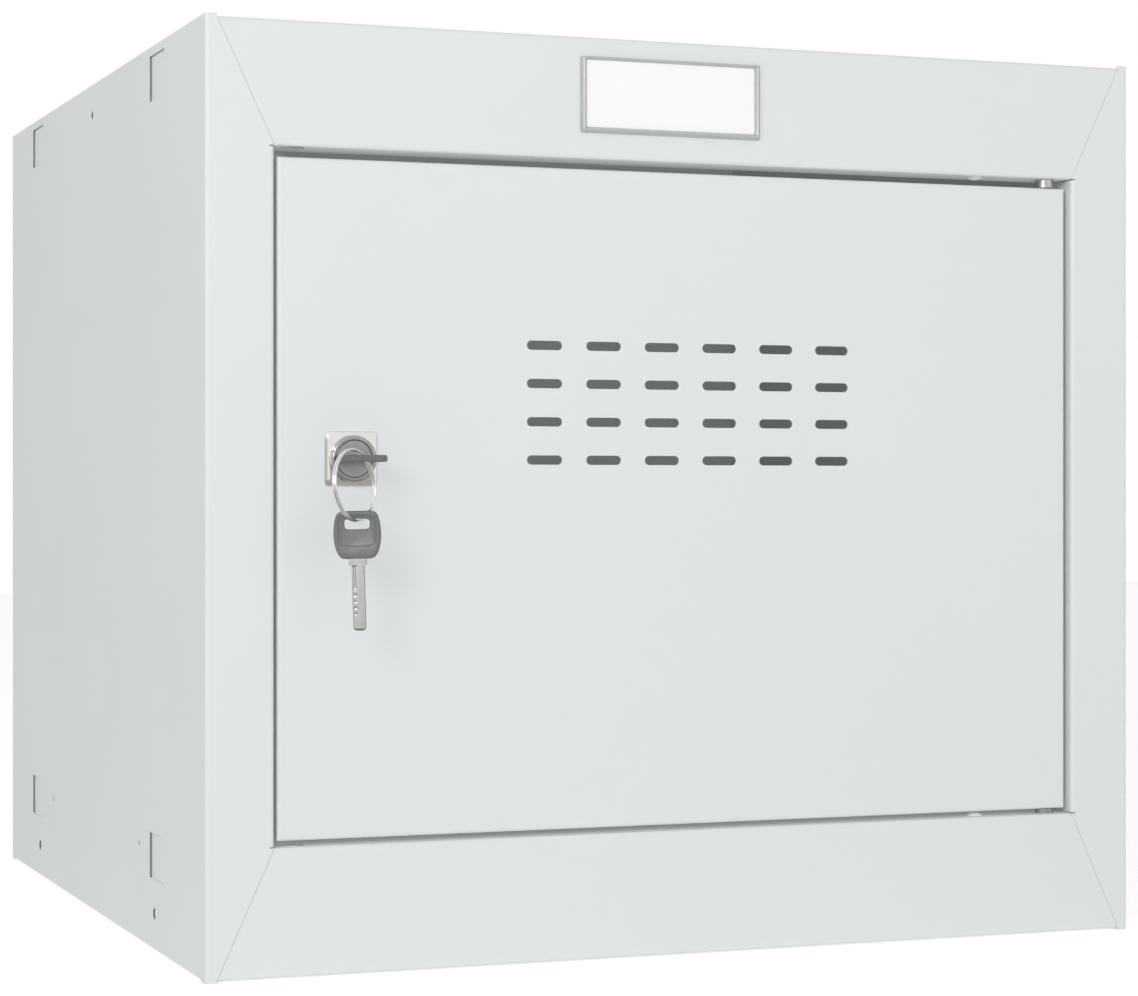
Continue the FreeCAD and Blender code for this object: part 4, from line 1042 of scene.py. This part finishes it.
class LOCKER_OT_keys(bpy.types.Operator):
    """Makes the key in the lock and the spare key"""

    bl_idname = "locker.keys"
    bl_label = "Keys"

    def execute(self, context):
        finish = context.scene.locker_finish
        nickel = surface_material(
            "key_nickel", finish.key_metal, 0.85, "drawn", {},
            (0.30, 0.44), metallic=1.0, edge=1.2, edge_radius=0.0002)
        # edge=1.5 gives the key heads lighter edges: a painted sheen
        plastic = surface_material(
            "key_plastic", finish.key_plastic, 0.85, "moulded", {},
            (0.38, 0.52), edge=1.5, edge_radius=0.0002)
        hang = ring_frame()[0]
        level = np.array([math.cos(SPARE_YAW), math.sin(SPARE_YAW), 0.0])
        down = np.array([0.0, 0.0, -1.0])
        spare_y = down * math.cos(SPARE_LEAN) + level * math.sin(SPARE_LEAN)
        spare_x = level * math.cos(SPARE_LEAN) - down * math.sin(SPARE_LEAN)
        rest = hang + np.array([0.0, 0.0, RING_WIRE_R + SPARE_PLAY])
        spare_origin = rest - spare_y * BOW_RIM + spare_x * SPARE_ASIDE
        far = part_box("key_bow")[0].y / MM
        key_origin = np.array([LOCK_AXIS[0] / MM, far, LOCK_AXIS[2] / MM])
        places = {
            "key": (key_origin, np.array([1.0, 0.0, 0.0]), np.array([0.0, 1.0, 0.0])),
            "spare_key": (spare_origin, spare_x, spare_y),
        }
        for body, (origin, x_axis, y_axis) in places.items():
            head = in_key_frame(bow_points(), origin, x_axis, y_axis)
            surface_piece(body + "_head", head, [plastic], body, [body + "_bow"], closed=True,
                          crease=60.0)
            blade = in_key_frame(blade_points(), origin, x_axis, y_axis)
            surface_piece(body + "_shank", blade, [nickel], body, [body + "_blade"])
        return {"FINISHED"}


def ring_points():
    """Wire wound twice: its middle line goes two turns round the ring and passes from one side to the
    other by a smooth step; each section is a rounded square turned square to the line."""
    hang, along, up, through = ring_frame()
    centre = hang + up * RING_R
    start = math.radians(112.0)
    pass_over = math.radians(34.0)
    sweep = np.linspace(start + pass_over / 2, start + 4 * math.pi - pass_over / 2, 400)
    middle = start + 2 * math.pi
    off = -COIL_OFF + 2 * COIL_OFF * step(sweep, middle - pass_over / 2, middle + pass_over / 2)
    outward = np.sin(sweep)[:, None] * along + np.cos(sweep)[:, None] * up
    turn = turns(20)
    reach = round_box(turn, COIL_HALF, COIL_HALF, 2.6)
    out = RING_R + reach * np.cos(turn)
    aside = off[:, None] + reach * np.sin(turn)
    return centre + out[None, :, None] * outward[:, None, :] + aside[:, :, None] * through


class LOCKER_OT_ring(bpy.types.Operator):
    """Makes the split ring"""

    bl_idname = "locker.ring"
    bl_label = "Split ring"

    def execute(self, context):
        steel = surface_material(
            "ring_steel", context.scene.locker_finish.ring, 0.85, "drawn", {}, (0.10, 0.2), metallic=1.0,
            edge=1.1, edge_radius=0.0001)
        surface_piece("wound_ring", ring_points(), [steel], "ring", ["split_ring"], crease=60.0)
        return {"FINISHED"}

class LOCKER_PT_panel(bpy.types.Panel):
    """Lists the steps that dress the locker"""

    bl_idname = "LOCKER_PT_panel"
    bl_label = "Locker"
    bl_space_type = "VIEW_3D"
    bl_region_type = "UI"
    bl_category = "Locker"

    def draw(self, context):
        for operator in OPERATORS:
            self.layout.operator(operator.bl_idname)
        for settings in (context.scene.locker_finish, context.scene.locker_stage):
            for key in settings.__annotations__:
                self.layout.prop(settings, key)

OPERATORS = (
    LOCKER_OT_stage, LOCKER_OT_cabinet, LOCKER_OT_hinges, LOCKER_OT_label, LOCKER_OT_buffers,
    LOCKER_OT_lock, LOCKER_OT_keys, LOCKER_OT_ring,
)
CLASSES = (LockerFinish, LockerStage) + OPERATORS + (LOCKER_PT_panel,)

def register():
    for kind in CLASSES:
        bpy.utils.register_class(kind)
    bpy.types.Scene.locker_finish = bpy.props.PointerProperty(type=LockerFinish)
    bpy.types.Scene.locker_stage = bpy.props.PointerProperty(type=LockerStage)


def unregister():
    del bpy.types.Scene.locker_stage
    del bpy.types.Scene.locker_finish
    for kind in reversed(CLASSES):
        bpy.utils.unregister_class(kind)


def main():
    register()
    for operator in OPERATORS:
        area, name = operator.bl_idname.split(".")
        getattr(getattr(bpy.ops, area), name)()


if __name__ == "__main__":
    main()
